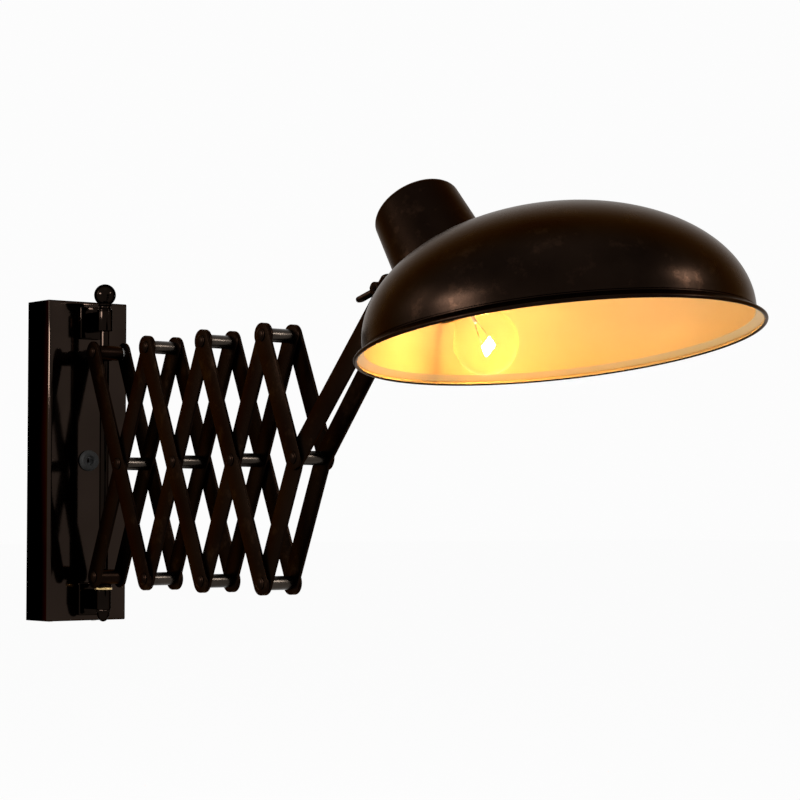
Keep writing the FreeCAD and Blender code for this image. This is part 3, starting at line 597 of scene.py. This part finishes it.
def strap(name, length, width, thick, edge=0.45):
    # flat bar with round ends, its end centres at z 0 and z length, its thickness along Y
    deselect()
    bpy.ops.mesh.primitive_cylinder_add(vertices=50, radius=width / 2 * mm, depth=thick * mm,
                                        rotation=(math.pi / 2, 0, 0))
    obj = bpy.context.object
    obj.name = name
    bpy.ops.object.mode_set(mode="EDIT")
    pick(obj, lambda p: p.z > 0, "VERT")
    bpy.ops.transform.translate(value=(0, 0, length * mm))
    bpy.ops.object.mode_set(mode="OBJECT")
    settled(obj)
    return rounded(obj, edge) if edge else obj


def brick(name, low, high, edge=0.5, segments=2):
    # a block between two corners with eased edges
    deselect()
    middle = [(a + b) / 2 * mm for a, b in zip(low, high)]
    bpy.ops.mesh.primitive_cube_add(size=1, location=middle)
    obj = bpy.context.object
    obj.name = name
    obj.scale = [(b - a) * mm for a, b in zip(low, high)]
    settled(obj)
    return rounded(obj, edge, segments) if edge else obj


def rod(radius, length, place, sides=48):
    # a plain round cutter or shank that starts at the place and runs along its Z
    deselect()
    bpy.ops.mesh.primitive_cylinder_add(vertices=sides, radius=radius * mm, depth=length * mm,
                                        location=(0, 0, length / 2 * mm))
    return settled(bpy.context.object, place)


def hexPrism(radius, low, high):
    deselect()
    bpy.ops.mesh.primitive_cylinder_add(vertices=6, radius=radius * mm, depth=(high - low) * mm,
                                        location=(0, 0, (low + high) / 2 * mm))
    return rounded(settled(bpy.context.object), 0.5)


def piece(name, objects, body, nodes, look, place=up, smooth=35):
    # joins what belongs together and hands it to the frame; several looks are already on it
    obj = joined(objects)
    settled(obj, place)
    obj.name = name
    obj.data.name = name
    if isinstance(look, str):
        obj.data.materials.clear()
        obj.data.materials.append(looks[look])
    activate(obj)
    bpy.ops.object.shade_smooth_by_angle(angle=math.radians(smooth))
    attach(obj, body)
    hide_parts(*nodes)


def slottedScrew(size):
    # pan head above z 0 with a straight slot, shank below
    headR, headH, shankR, length = (size[k] for k in ("headR", "headH", "shankR", "length"))
    brim = headH * 0.25
    outline = [(0, -length), (shankR, -length), (shankR, 0), (headR, 0), (headR, brim)]
    screw = lathe("screw", outline + arc(0, brim, headR, headH - brim, 12, 90, 8), 32)
    wide, half = headR * 2, size["slotWide"] / 2
    slot = brick("slot", (-wide, -half, headH - size["slotDeep"]), (wide, half, headH * 2), 0)
    return cutBy(screw, slot)


# ---- wall unit

cover = {"deep": 48.5, "wide": 100, "tall": 354, "wall": 1.5, "frontRound": 4, "steps": 6,
         "edge": 0.7, "roomEdge": 2.5, "holeR": 7.5, "drill": 20}


def coverBox():
    # pressed box: its front face is drawn forward in steps that follow the rounded edge
    wide, tall, deep = cover["wide"] / 2, cover["tall"] / 2, cover["deep"]
    turn = cover["frontRound"]
    box = brick("coverBox", (0, -wide, -tall), (deep - turn, wide, tall), 0)
    editing(box)
    pick(box, lambda middle, normal: normal.x > 0.9)
    before = Vector((0, wide, tall))
    for k in range(1, cover["steps"] + 1):
        a = math.pi / 2 * k / cover["steps"]
        pull = turn * (1 - math.cos(a))
        after = Vector((turn * math.sin(a), wide - pull, tall - pull))
        step = ((after.x - before.x) * mm, 0, 0)
        shrink = (1, after.y / before.y, after.z / before.z)
        bpy.ops.mesh.extrude_region_move(TRANSFORM_OT_translate={"value": step})
        bpy.ops.transform.resize(value=shrink, center_override=(0, 0, 0))
        before = after
    bpy.ops.object.mode_set(mode="OBJECT")
    rounded(box, cover["edge"])
    wall = cover["wall"]
    room = brick("room", (-deep, wall - wide, wall - tall), (deep - wall, wide - wall, tall - wall),
                 cover["roomEdge"], 3)
    box = cutBy(box, room)
    drill = cover["drill"]
    box = cutBy(box, rod(cover["holeR"], drill, moved(deep - drill / 2, 0, 0) @ alongX))
    piece("wallBox", [box], "wall_unit", ["wall_cover"], "boxGloss", smooth=30)


lug = {"low": 142, "high": 164, "bossR": 8.5, "bossEdge": 1, "web": 8, "webEdge": 0.9,
       "footWide": 26, "footTall": 36, "footThick": 4, "footEdge": 1.4, "fit": 0.02}
post = {"rodR": 5, "half": 170, "edge": 0.8, "ballR": 12, "ballZ": 182, "ballFrom": -54}


def rodLug(name, node, side):
    face, x, half = cover["deep"], lamp["rodX"], (lug["high"] - lug["low"]) / 2
    z = side * (lug["low"] + half)
    wide, tall, web = lug["footWide"] / 2, lug["footTall"] / 2, lug["web"] / 2
    body = brick("foot", (face, -wide, z - tall), (face + lug["footThick"], wide, z + tall),
                 lug["footEdge"], 3)
    body = combined(body, brick("web", (face + 1, -web, z - half),
                                (x - post["rodR"], web, z + half), lug["webEdge"], 3))
    boss = lathe("boss", ringOutline(0.5, lug["bossR"], -half, half, lug["bossEdge"]), 48)
    body = combined(body, settled(boss, moved(x, 0, z)))
    body = cutBy(body, rod(post["rodR"] + lug["fit"], 60, moved(x, 0, z - 30), 64))
    piece(name, [body], "wall_unit", [node], "gloss")


# radius and height above the upper lug
finialNeck = [(5, 0), (8.5, 0), (8.5, 1.4), (6.6, 2.6), (5.9, 4.4), (5.9, 5.6), (7.6, 6.4),
              (7.8, 7.2)]
capNut = {"hexR": 8.4, "hexLow": -3, "domeR": 6.8, "domeHigh": -2.5, "domeLow": -4, "domeH": 9,
          "drill": 6}
thrust = {"r": 9.5, "thick": 2.5, "edge": 0.6, "fit": 0.05}


def rodAndEnds():
    r, half, x, base = post["rodR"], post["half"], lamp["rodX"], lug["high"]
    shaft = lathe("rod", ringOutline(0, r, -half, half, post["edge"]), 64)
    piece("uprightRod", [shaft], "wall_unit", ["swing_rod"], "gloss", moved(x, 0, 0))
    neck = softened([(radius, base + height) for radius, height in finialNeck], 0.5)
    ball = arc(0, post["ballZ"], post["ballR"], post["ballR"], post["ballFrom"], 90, 26)
    finial = lathe("finial", neck + ball + [(0, half), (r, half)], 72)
    piece("ballFinial", [finial], "wall_unit", ["ball_finial"], "gloss",
          moved(x, 0, 0))
    # the cap nut: hexagon against the lug, domed end
    wide, low = capNut["domeR"], capNut["domeLow"]
    outline = [(0, capNut["domeHigh"]), (wide, capNut["domeHigh"]), (wide, low)]
    dome = lathe("dome", outline + arc(0, low, wide, capNut["domeH"], 0, -90, 12), 48)
    cap = combined(hexPrism(capNut["hexR"], capNut["hexLow"], 0), dome)
    cap = cutBy(cap, rod(r + lug["fit"], capNut["drill"], moved(0, 0, -capNut["drill"])))
    piece("capNut", [cap], "wall_unit", ["rod_cap_nut"], "gloss", moved(x, 0, -base))
    washer = ringOutline(r + thrust["fit"], thrust["r"], 0, thrust["thick"], thrust["edge"])
    piece("thrustWasher", [lathe("washer", washer, 64)], "wall_unit", ["thrust_washer"],
          "brass", moved(x, 0, -lug["low"]))


# radius and height from the face of the box
grommetOutline = [(4.5, -6), (7.4, -6), (7.4, 0), (11.5, 0), (11.5, 2.6), (10.8, 3.0), (10.8, 3.6),
                  (11.1, 4.0), (9.7, 6), (5.9, 6), (4.5, 4.4)]


def cableGrommet():
    grommet = lathe("grommet", softened(grommetOutline, 0.4), 64)
    piece("cableGrommet", [grommet], "wall_unit", ["cable_grommet"], "rubber",
          moved(cover["deep"], 0, 0) @ alongX)


edgeScrew = {"headR": 3.8, "headH": 2.2, "shankR": 2, "length": 6, "slotWide": 0.9,
             "slotDeep": 1.0, "x": 15, "y": 28, "slotTurns": (35, 85)}


def edgeScrews():
    places = []
    for side, flip in ((1, up), (-1, turned(180, "X"))):
        for y, turn in zip((-edgeScrew["y"], edgeScrew["y"]), edgeScrew["slotTurns"]):
            seat = moved(edgeScrew["x"], y, side * cover["tall"] / 2)
            places.append(seat @ flip @ turned(turn, "Z"))
    screws = copiesAt(slottedScrew(edgeScrew), places)
    piece("edgeScrews", screws, "wall_unit", ["cover_screws"], "zinc")


coverBox()
rodLug("upperLug", "upper_lug", 1)
rodLug("lowerLug", "lower_lug", -1)
rodAndEnds()
cableGrommet()
edgeScrews()
print("wall unit made")


# ---- scissor frames

bars = {"width": 24, "thick": 3, "innerFace": 14.6, "layerGap": 0.5}
outerFace = bars["innerFace"] + bars["thick"] + bars["layerGap"]
rivet = {"pinR": 3, "headR": 6.5, "headH": 3, "gap": 0.12, "rimH": 0.7, "rimEase": 0.5,
         "domeFrom": 1.0, "domeIn": 0.8}
spacer = {"r": 7, "edge": 0.6}


def darkPiece(name, objects, body, node, look="satin", place=up):
    piece(name, objects, body, [node], look, place)


def atJoints(one, joints):
    return copiesAt(one, [jointAt(step, level) @ alongY for step, level in joints])


def barPair(low, high, face, lean, step):
    # near and far bar, leaned about their crossing
    one = strap("bar", high - low, bars["width"], bars["thick"])
    crossing = jointAt(step, 0) @ turned(lean * lamp["foldAngle"], "Y")
    y = face + bars["thick"] / 2
    return copiesAt(one, [crossing @ moved(0, y, low), crossing @ moved(0, -y, low)])


def pinOutline(face):
    # a headed pin along its own Z, both heads domed over a small rim
    seat = face + bars["thick"] + rivet["gap"]
    r, pin, foot = rivet["headR"], rivet["pinR"], seat + rivet["domeFrom"]
    half = [(pin, seat - 1), (pin, seat), (r, seat), (r, seat + rivet["rimH"]),
            (r - rivet["rimEase"], foot)]
    half += arc(0, foot, r - rivet["domeIn"], rivet["headH"] - rivet["domeFrom"], 8, 90, 8)
    return [(a, -b) for a, b in reversed(half)] + half


collar = {"r": 9, "boreR": 5.08, "up": 8, "down": 11.5, "edge": 0.4, "bossR": 8, "bossEdge": 0.9,
          "bossGap": 0.2}
# radius and distance from the nearer end of the sleeve
collarGroove = [(9, 2.6), (8.4, 3.0), (8.4, 3.6), (9, 4.0)]


def slidingCollar(name, node, body, level, down):
    # turned sleeve with a groove near each end, and the cross boss for the first pivot
    r, bore, high, joint = collar["r"], collar["boreR"], collar["up"], jointAt(0, level)
    onRod = joint @ moved(-lamp["pinX"], 0, 0)
    outline = [(bore, -down), (r, -down)] + [(a, b - down) for a, b in collarGroove]
    outline += [(a, high - b) for a, b in reversed(collarGroove)] + [(r, high), (bore, high)]
    grip = settled(lathe("sleeve", softened(outline, collar["edge"], 2), 64), onRod)
    half = bars["innerFace"] - collar["bossGap"]
    boss = lathe("boss", ringOutline(0, collar["bossR"], -half, half, collar["bossEdge"]), 48)
    grip = combined(grip, settled(boss, joint @ alongY))
    grip = cutBy(grip, rod(bore, 60, onRod @ moved(0, 0, -30), 64))
    darkPiece(name, [grip], body, node)


filler = {"boreR": 3, "r": 6, "gap": 0.1, "edge": 0.4}


def collarWashers():
    # they bridge the inner bars' layer at the upper collar, where only outer bars are held
    thick = bars["thick"] + 2 * filler["gap"]
    ring = lathe("ring", ringOutline(filler["boreR"], filler["r"], 0, thick, filler["edge"]), 40)
    joint, y = jointAt(0, 1), bars["innerFace"] + filler["gap"]
    rings = copiesAt(ring, [joint @ moved(0, y, 0) @ alongY, joint @ moved(0, -y, 0) @ againstY])
    piece("upperCollarWashers", rings, "upper_carriage", ["upper_collar_washers"],
          "zinc")


def fastenings(number, body, joints):
    half = bars["innerFace"]
    outline = ringOutline(rivet["pinR"], spacer["r"], -half, half, spacer["edge"])
    tubes = atJoints(lathe("tube", outline, 48), joints)
    darkPiece("spacerTubes%d" % number, tubes, body, "spacer_tubes_%d" % number, "tube")
    pins = atJoints(lathe("rivet", pinOutline(outerFace), 40), joints)
    darkPiece("rivets%d" % number, pins, body, "rivets_%d" % number)


def scissorFrames():
    slidingCollar("lowerCollar", "lower_collar", "carriage", -1, collar["down"])
    slidingCollar("upperCollar", "upper_collar", "upper_carriage", 1, collar["up"])
    lowPin = atJoints(lathe("pin", pinOutline(bars["innerFace"]), 40), [(0, -1)])
    darkPiece("lowerCollarPin", lowPin, "carriage", "lower_collar_pin")
    highPin = atJoints(lathe("pin", pinOutline(outerFace), 40), [(0, 1)])
    darkPiece("upperCollarPin", highPin, "upper_carriage", "upper_collar_pin")
    collarWashers()
    for unit in (1, 2, 3):
        step, inner = unit - 0.5, "inner_%d" % unit
        rising = barPair(-halfBar, halfBar, bars["innerFace"], 1, step)
        darkPiece("innerBars%d" % unit, rising, inner, "inner_bars_%d" % unit)
        falling = barPair(-halfBar, halfBar, outerFace, -1, step)
        darkPiece("outerBars%d" % unit, falling, "outer_%d" % unit, "outer_bars_%d" % unit)
        joints = [(step, 0), (unit, 1)]
        if unit > 1:
            joints.append((unit - 1, -1))
        fastenings(unit, inner, joints)
    last = lamp["lastCrossing"]
    shorts = barPair(0, halfBar, outerFace, -1, last)
    darkPiece("shortBars", shorts, "short_links", "short_bars")
    fastenings(4, "arms", [(last, 0), (3, -1)])


arms = {"inset": 3.4, "bendCuts": 4, "bendHalf": 8, "edge": 0.45}


def bentArm(side):
    # a straight strap, then bent at the last crossing and splayed inwards above it
    arm = strap("arm", halfBar + lamp["armReach"], bars["width"], bars["thick"], 0)
    settled(arm, moved(0, 0, -halfBar))
    editing(arm)
    for k in range(-arms["bendCuts"], arms["bendCuts"] + 1):
        height = k * arms["bendHalf"] / arms["bendCuts"] * mm
        bpy.ops.mesh.select_all(action="SELECT")
        bpy.ops.mesh.bisect(plane_co=(0, 0, height), plane_no=(0, 0, 1))
    bpy.ops.object.mode_set(mode="OBJECT")
    splay = -side * arms["inset"] / lamp["armReach"]
    for point in arm.data.vertices:
        x, y, z = point.co
        share = min(max((z / mm + arms["bendHalf"]) / (2 * arms["bendHalf"]), 0), 1)
        turn = math.radians(lamp["armBend"]) * share
        point.co = (x * math.cos(turn) + z * math.sin(turn), y + splay * max(z, 0),
                    z * math.cos(turn) - x * math.sin(turn))
    settled(arm, moved(0, side * (bars["innerFace"] + bars["thick"] / 2), 0))
    return rounded(arm, arms["edge"])


def longArms():
    place = armFoot @ turned(lamp["foldAngle"], "Y")
    darkPiece("longArms", [bentArm(1), bentArm(-1)], "arms", "long_arms", place=place)


scissorFrames()
longArms()
print("scissor frames made")


# ---- tilt joint

tilt = {"lugHalf": 10, "lugR": 11, "lugEdge": 1.2, "boltR": 3, "boltEnd": 3, "washerR": 8,
        "washerT": 1.2, "washerEdge": 0.3, "hexR": 6.5, "hexH": 4.5, "armFit": 0.2}
armMiddle = bars["innerFace"] + bars["thick"] / 2 - arms["inset"]
armIn = armMiddle - bars["thick"] / 2 - tilt["armFit"]
armOut = armMiddle + bars["thick"] / 2 + tilt["armFit"]
boltSeat = armOut + tilt["washerT"]

cup = {"baseT": 50, "topT": 159, "baseR": 50, "topR": 42, "crown": 15, "wall": 1.6}
dome = {"r": 169.5, "rise": 104, "lip": 6.5, "skirt": 13, "rimR": 177, "sheet": 1.4,
        "beadR": 1.8, "neckR": 38}


def cupSolid():
    # the cup's outside, filled
    outline = [(0, cup["baseT"]), (cup["baseR"], cup["baseT"])]
    outline += arc(0, cup["topT"], cup["topR"], cup["crown"], 0, 90, 14)
    return lathe("cupSolid", outline, 96)


def domeSolid():
    # the dome's outside, filled
    outline = [(0, dome["lip"]), (dome["r"], dome["lip"])]
    outline += arc(0, dome["skirt"], dome["r"], dome["rise"], 0, 90, 40)
    return lathe("domeSolid", outline, 144)


def tiltLug():
    # a thick strap from the pivot to the cup's wall, its end cut to the wall's curve
    pivot = (cupPlace.inverted() @ pivotPlace).to_translation() / mm
    body = strap("lug", -pivot.x, 2 * tilt["lugR"], 2 * tilt["lugHalf"], tilt["lugEdge"])
    settled(body, moved(pivot.x, 0, pivot.z) @ turned(90, "Y"))
    body = cutBy(body, cupSolid())
    body = cutBy(body, rod(tilt["boltR"], 60, moved(pivot.x, -30, pivot.z) @ alongY))
    darkPiece("tiltLug", [body], "shade_head", "tilt_lug", place=cupPlace)


thread = {"pitch": 1.0, "deep": 0.4, "lead": 0.6, "point": 0.8}


def tiltBolt():
    # hexagon head at one end, a cut thread towards the wing nut's end
    r, tail = tilt["boltR"], boltSeat + wingSize["hubLen"] + tilt["boltEnd"]
    head = hexPrism(tilt["hexR"], boltSeat, boltSeat + tilt["hexH"])
    outline = [(0, -tail), (r - thread["point"], -tail)]
    z = -tail + thread["lead"]
    while z < -boltSeat:
        outline += [(r - thread["deep"], z), (r, z + thread["pitch"] / 2)]
        z += thread["pitch"]
    shank = lathe("shank", outline + [(r, boltSeat), (0, boltSeat)], 32)
    darkPiece("tiltBolt", [head, shank], "shade_head", "tilt_bolt", place=pivotPlace @ alongY)


def tiltWashers():
    # one pair between lug and arms, one pair under the bolt's head and the wing nut
    half, wide, edge = tilt["lugHalf"], tilt["washerR"], tilt["washerEdge"]
    rings = []
    for start, thick in ((half, armIn - half), (armOut, tilt["washerT"])):
        ring = lathe("ring", ringOutline(tilt["boltR"], wide, 0, thick, edge), 48)
        rings += copiesAt(ring, [moved(0, 0, start), moved(0, 0, -start) @ turned(180, "X")])
    piece("tiltWashers", rings, "shade_head", ["tilt_washers"], "zinc",
          pivotPlace @ alongY)


wingSize = {"hubR": 7, "flangeH": 1.6, "slopeH": 3.2, "slopeR": 6.6, "hubTop": 6, "hubLen": 13,
            "hubEdge": 0.5, "boreFit": 0.06, "long": 22, "wide": 10, "thick": 3.5, "edge": 1.1,
            "root": 6, "rootEnd": 4, "rootScale": (0.8, 1.2, 1), "splay": 18, "turn": 24,
            "gap": 0.1}


def wingNut():
    r, high = wingSize["hubR"], wingSize["hubLen"]
    hub = [(0, 0), (r, 0), (r, wingSize["flangeH"]), (wingSize["slopeR"], wingSize["slopeH"]),
           (wingSize["hubTop"], high), (0, high)]
    nut = lathe("hub", softened(hub, wingSize["hubEdge"]), 48)
    for turn in (0, 180):
        wing = strap("wing", wingSize["long"], wingSize["wide"], wingSize["thick"],
                     wingSize["edge"])
        editing(wing)
        pick(wing, lambda p: p.z < wingSize["rootEnd"] * mm, "VERT")
        bpy.ops.transform.resize(value=wingSize["rootScale"], center_override=(0, 0, 0))
        bpy.ops.object.mode_set(mode="OBJECT")
        stand = moved(0, 0, wingSize["root"]) @ turned(90 - wingSize["splay"], "Y")
        nut = combined(nut, settled(wing, turned(turn, "Z") @ stand))
    nut = cutBy(nut, rod(tilt["boltR"] + wingSize["boreFit"], 40, moved(0, 0, -20)))
    seat = pivotPlace @ moved(0, -(boltSeat + wingSize["gap"]), 0) @ againstY
    darkPiece("wingNut", [nut], "clamp_nut", "wing_nut", place=seat @ turned(wingSize["turn"], "Z"))


tiltLug()
tiltBolt()
tiltWashers()
wingNut()
print("tilt joint made")


# ---- shade and cup

# radius from the dome's wall and height from its lip
lipGroove = [(0, 1.6), (-0.5, 1.0), (-0.5, 0.3), (0.6, -0.4)]


def paintInside(shell):
    # bronze outside, enamel on the faces that look into the dome
    shell.data.materials.clear()
    for look in ("spun", "enamel"):
        shell.data.materials.append(looks[look])
    back = shadePlace.inverted()
    middle = Vector((0, 0, dome["lip"] * mm))
    for face in shell.data.polygons:
        spot = back @ face.center
        inwards = (back.to_3x3() @ face.normal).dot(spot - middle) < 0
        aboveBead = spot.z > -0.2 * dome["beadR"] * mm
        face.material_index = 1 if inwards and aboveBead else 0


def shadeDome():
    r, sheet, lip, skirt, bead = (dome[k] for k in ("r", "sheet", "lip", "skirt", "beadR"))
    outline = arc(0, skirt, r, dome["rise"], 90, 0, 54)
    outline += [(r + out, lip + height) for out, height in lipGroove]
    outline += arc(dome["rimR"] - sheet / 2, 0, bead, bead, 70, -250, 18)
    outline += [(r - sheet, lip)] + arc(0, skirt, r - sheet, dome["rise"] - sheet, 0, 90, 54)
    shell = settled(lathe("shell", outline, 176), shadePlace)
    shell = cutBy(shell, rod(dome["neckR"], 120, cupPlace @ moved(0, 0, -10), 96))
    paintInside(shell)
    piece("shadeDome", [shell], "shade_head", ["shade_reflector"],
          ("spun", "enamel"), smooth=32)


peg = {"headR": 3.2, "headH": 1.8, "shankR": 1.6, "length": 6, "slotWide": 0.7, "slotDeep": 0.8,
       "t": 91.5, "slotTurns": (20, 65)}
bush = {"t": 100, "holeR": 6, "drillFrom": -55, "edge": 0.5}
# radius and height from the cup's wall
bushOutline = [(3.6, -5), (5.9, -5), (5.9, -0.9), (8.5, -0.9), (8.5, 1.2), (5.2, 3), (3.6, 3)]


def sideCup():
    low, high, wall = cup["baseT"], cup["topT"], cup["wall"]
    outline = [(cup["baseR"] - wall, low), (cup["baseR"], low)]
    outline += arc(0, high, cup["topR"], cup["crown"], 0, 90, 16)
    outline += arc(0, high, cup["topR"] - wall, cup["crown"] - wall, 90, 0, 16)
    shell = settled(lathe("cup", outline, 128), cupPlace)
    shell = cutBy(shell, settled(domeSolid(), shadePlace))
    leadHole = cupPlace @ moved(bush["drillFrom"], 0, bush["t"]) @ alongX
    shell = cutBy(shell, rod(bush["holeR"], 20, leadHole))
    piece("sideCup", [shell], "shade_head", ["socket_cup"], "satin", smooth=32)


def cupRadius(t):
    share = (t - cup["baseT"]) / (cup["topT"] - cup["baseT"])
    return cup["baseR"] - (cup["baseR"] - cup["topR"]) * share


def cupFittings():
    y, t = cupRadius(peg["t"]), peg["t"]
    far, near = peg["slotTurns"]
    pegs = copiesAt(slottedScrew(peg), [moved(0, y, t) @ alongY @ turned(far, "Z"),
                                        moved(0, -y, t) @ againstY @ turned(near, "Z")])
    piece("holderScrews", pegs, "shade_head", ["holder_screws"], "zinc", cupPlace)
    leadBush = lathe("bush", softened(bushOutline, bush["edge"]), 48)
    outwards = moved(-cupRadius(bush["t"]), 0, bush["t"]) @ turned(-90, "Y")
    piece("leadBush", [leadBush], "shade_head", ["lead_bush"], "rubber",
          cupPlace @ outwards)


shadeDome()
sideCup()
cupFittings()
print("shade and cup made")


# ---- bulb

bulb = {"r": 30, "wall": 0.8, "shoulder": 36, "bendR": 2.2, "bendT": 13, "neckR": 14.2,
        "neckT": 47}


def globeOutline(inward):
    # round up to the shoulder, then a curve into the neck
    r, neck = bulb["r"] - inward, bulb["neckR"] - inward
    points = arc(0, 0, r, r, -90, bulb["shoulder"], 44)
    start, end = Vector(points[-1]), Vector((neck, bulb["neckT"]))
    bend = Vector((neck + bulb["bendR"], start.y + bulb["bendT"]))
    return points + curved(start, bend, end, 10)[1:]


def bulbGlobe():
    outline = globeOutline(0) + list(reversed(globeOutline(bulb["wall"])))
    piece("bulbGlobe", [lathe("globe", outline, 96)], "bulb", ["bulb_glass"],
          "glass", cupPlace, 60)


screwCap = {"r": 13, "low": 47, "high": 74, "turns": 6, "pitch": 3.2, "first": 2.4,
            "ridge": 1.0, "ridgeHalf": 0.9}
# radius and height from the cap's top, outside and then inside
capEnd = [(12, -3), (8.6, -0.6), (8.2, 0), (0, 0), (0, -0.8), (7.6, -1.2), (11.1, -3.6)]


def bulbCap():
    r, low, ridge, half = (screwCap[k] for k in ("r", "low", "ridge", "ridgeHalf"))
    outline = [(r - 0.8, low), (r, low), (r, low + 1.2)]
    for k in range(screwCap["turns"]):
        z = low + screwCap["first"] + k * screwCap["pitch"]
        outline += arc(r - ridge, z + half, ridge, half, -90, 90, 6)
    outline += [(a, screwCap["high"] + b) for a, b in capEnd] + [(capEnd[-1][0], low)]
    cap = lathe("cap", outline, 72)
    piece("bulbCap", [cap], "bulb", ["bulb_cap"], "cap", cupPlace)


stemOutline = [(0, 53), (5, 53), (5, 48), (4.4, 45), (3.0, 38), (1.9, 30), (1.6, 24)]
stemTip = {"t": 23.5, "r": 1.7, "h": 1.2}
support = {"r": 0.4, "length": 30, "x": 7, "t": -4, "lean": 11}
strand = {"legs": 8, "wide": 14, "tall": 10, "t": -5, "wireR": 0.8}


def hotStrand():
    # zigzag filament between the two support wires
    deselect()
    bpy.ops.curve.primitive_bezier_curve_add()
    curve = bpy.context.object
    line = curve.data
    line.splines.clear()
    spline = line.splines.new("POLY")
    count = strand["legs"] * 2
    spline.points.add(count - 1)
    for k in range(count):
        x = -strand["wide"] / 2 + strand["wide"] * k / (count - 1)
        high = k % 4 in (1, 2)
        z = strand["t"] + (strand["tall"] / 2 if high else -strand["tall"] / 2)
        spline.points[k].co = (x * mm, 0, z * mm, 1)
    line.bevel_depth = strand["wireR"] * mm
    line.bevel_resolution = 2
    line.use_fill_caps = True
    bpy.ops.object.convert(target="MESH")
    made = bpy.context.object
    editing(made)
    bpy.ops.mesh.select_all(action="SELECT")
    bpy.ops.mesh.remove_doubles(threshold=weld)
    bpy.ops.object.mode_set(mode="OBJECT")
    made.data.materials.clear()
    made.data.materials.append(looks["wire"])
    return settled(made)


def bulbFilament():
    # glass stem, glowing strand and two support wires, each with its own look
    tip = arc(0, stemTip["t"], stemTip["r"], stemTip["h"], 0, -90, 5)
    stem = lathe("stem", stemOutline + tip, 32)
    stem.data.materials.append(looks["porcelain"])
    parts = [stem, hotStrand()]
    for side in (-1, 1):
        place = moved(side * support["x"], 0, support["t"]) @ turned(-side * support["lean"], "Y")
        wire = rod(support["r"], support["length"], place, 10)
        wire.data.materials.append(looks["cap"])
        parts.append(wire)
    piece("bulbFilament", parts, "bulb", ["bulb_filament"],
          ("porcelain", "wire", "cap"), cupPlace, 50)


bulbGlobe()
bulbCap()
bulbFilament()
print("bulb made")


# ---- CAD pieces that keep their shape

keptFinishes = {
    "wall_plate": "plate", "lug_screws": "zinc", "terminal_block": "plastic",
    "terminal_screws": "brass", "earth_stud": "brass", "shade_ring": "enamel",
    "lug_to_cup_screws": "zinc", "holder_body": "porcelain", "holder_shell": "brass",
    "holder_contact": "brass", "holder_plate": "zinc", "holder_nipple": "brass",
    "holder_nut": "brass", "bulb_button": "brass",
}
for node, look in keptFinishes.items():
    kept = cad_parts[node]
    kept.data.materials.clear()
    kept.data.materials.append(looks[look])
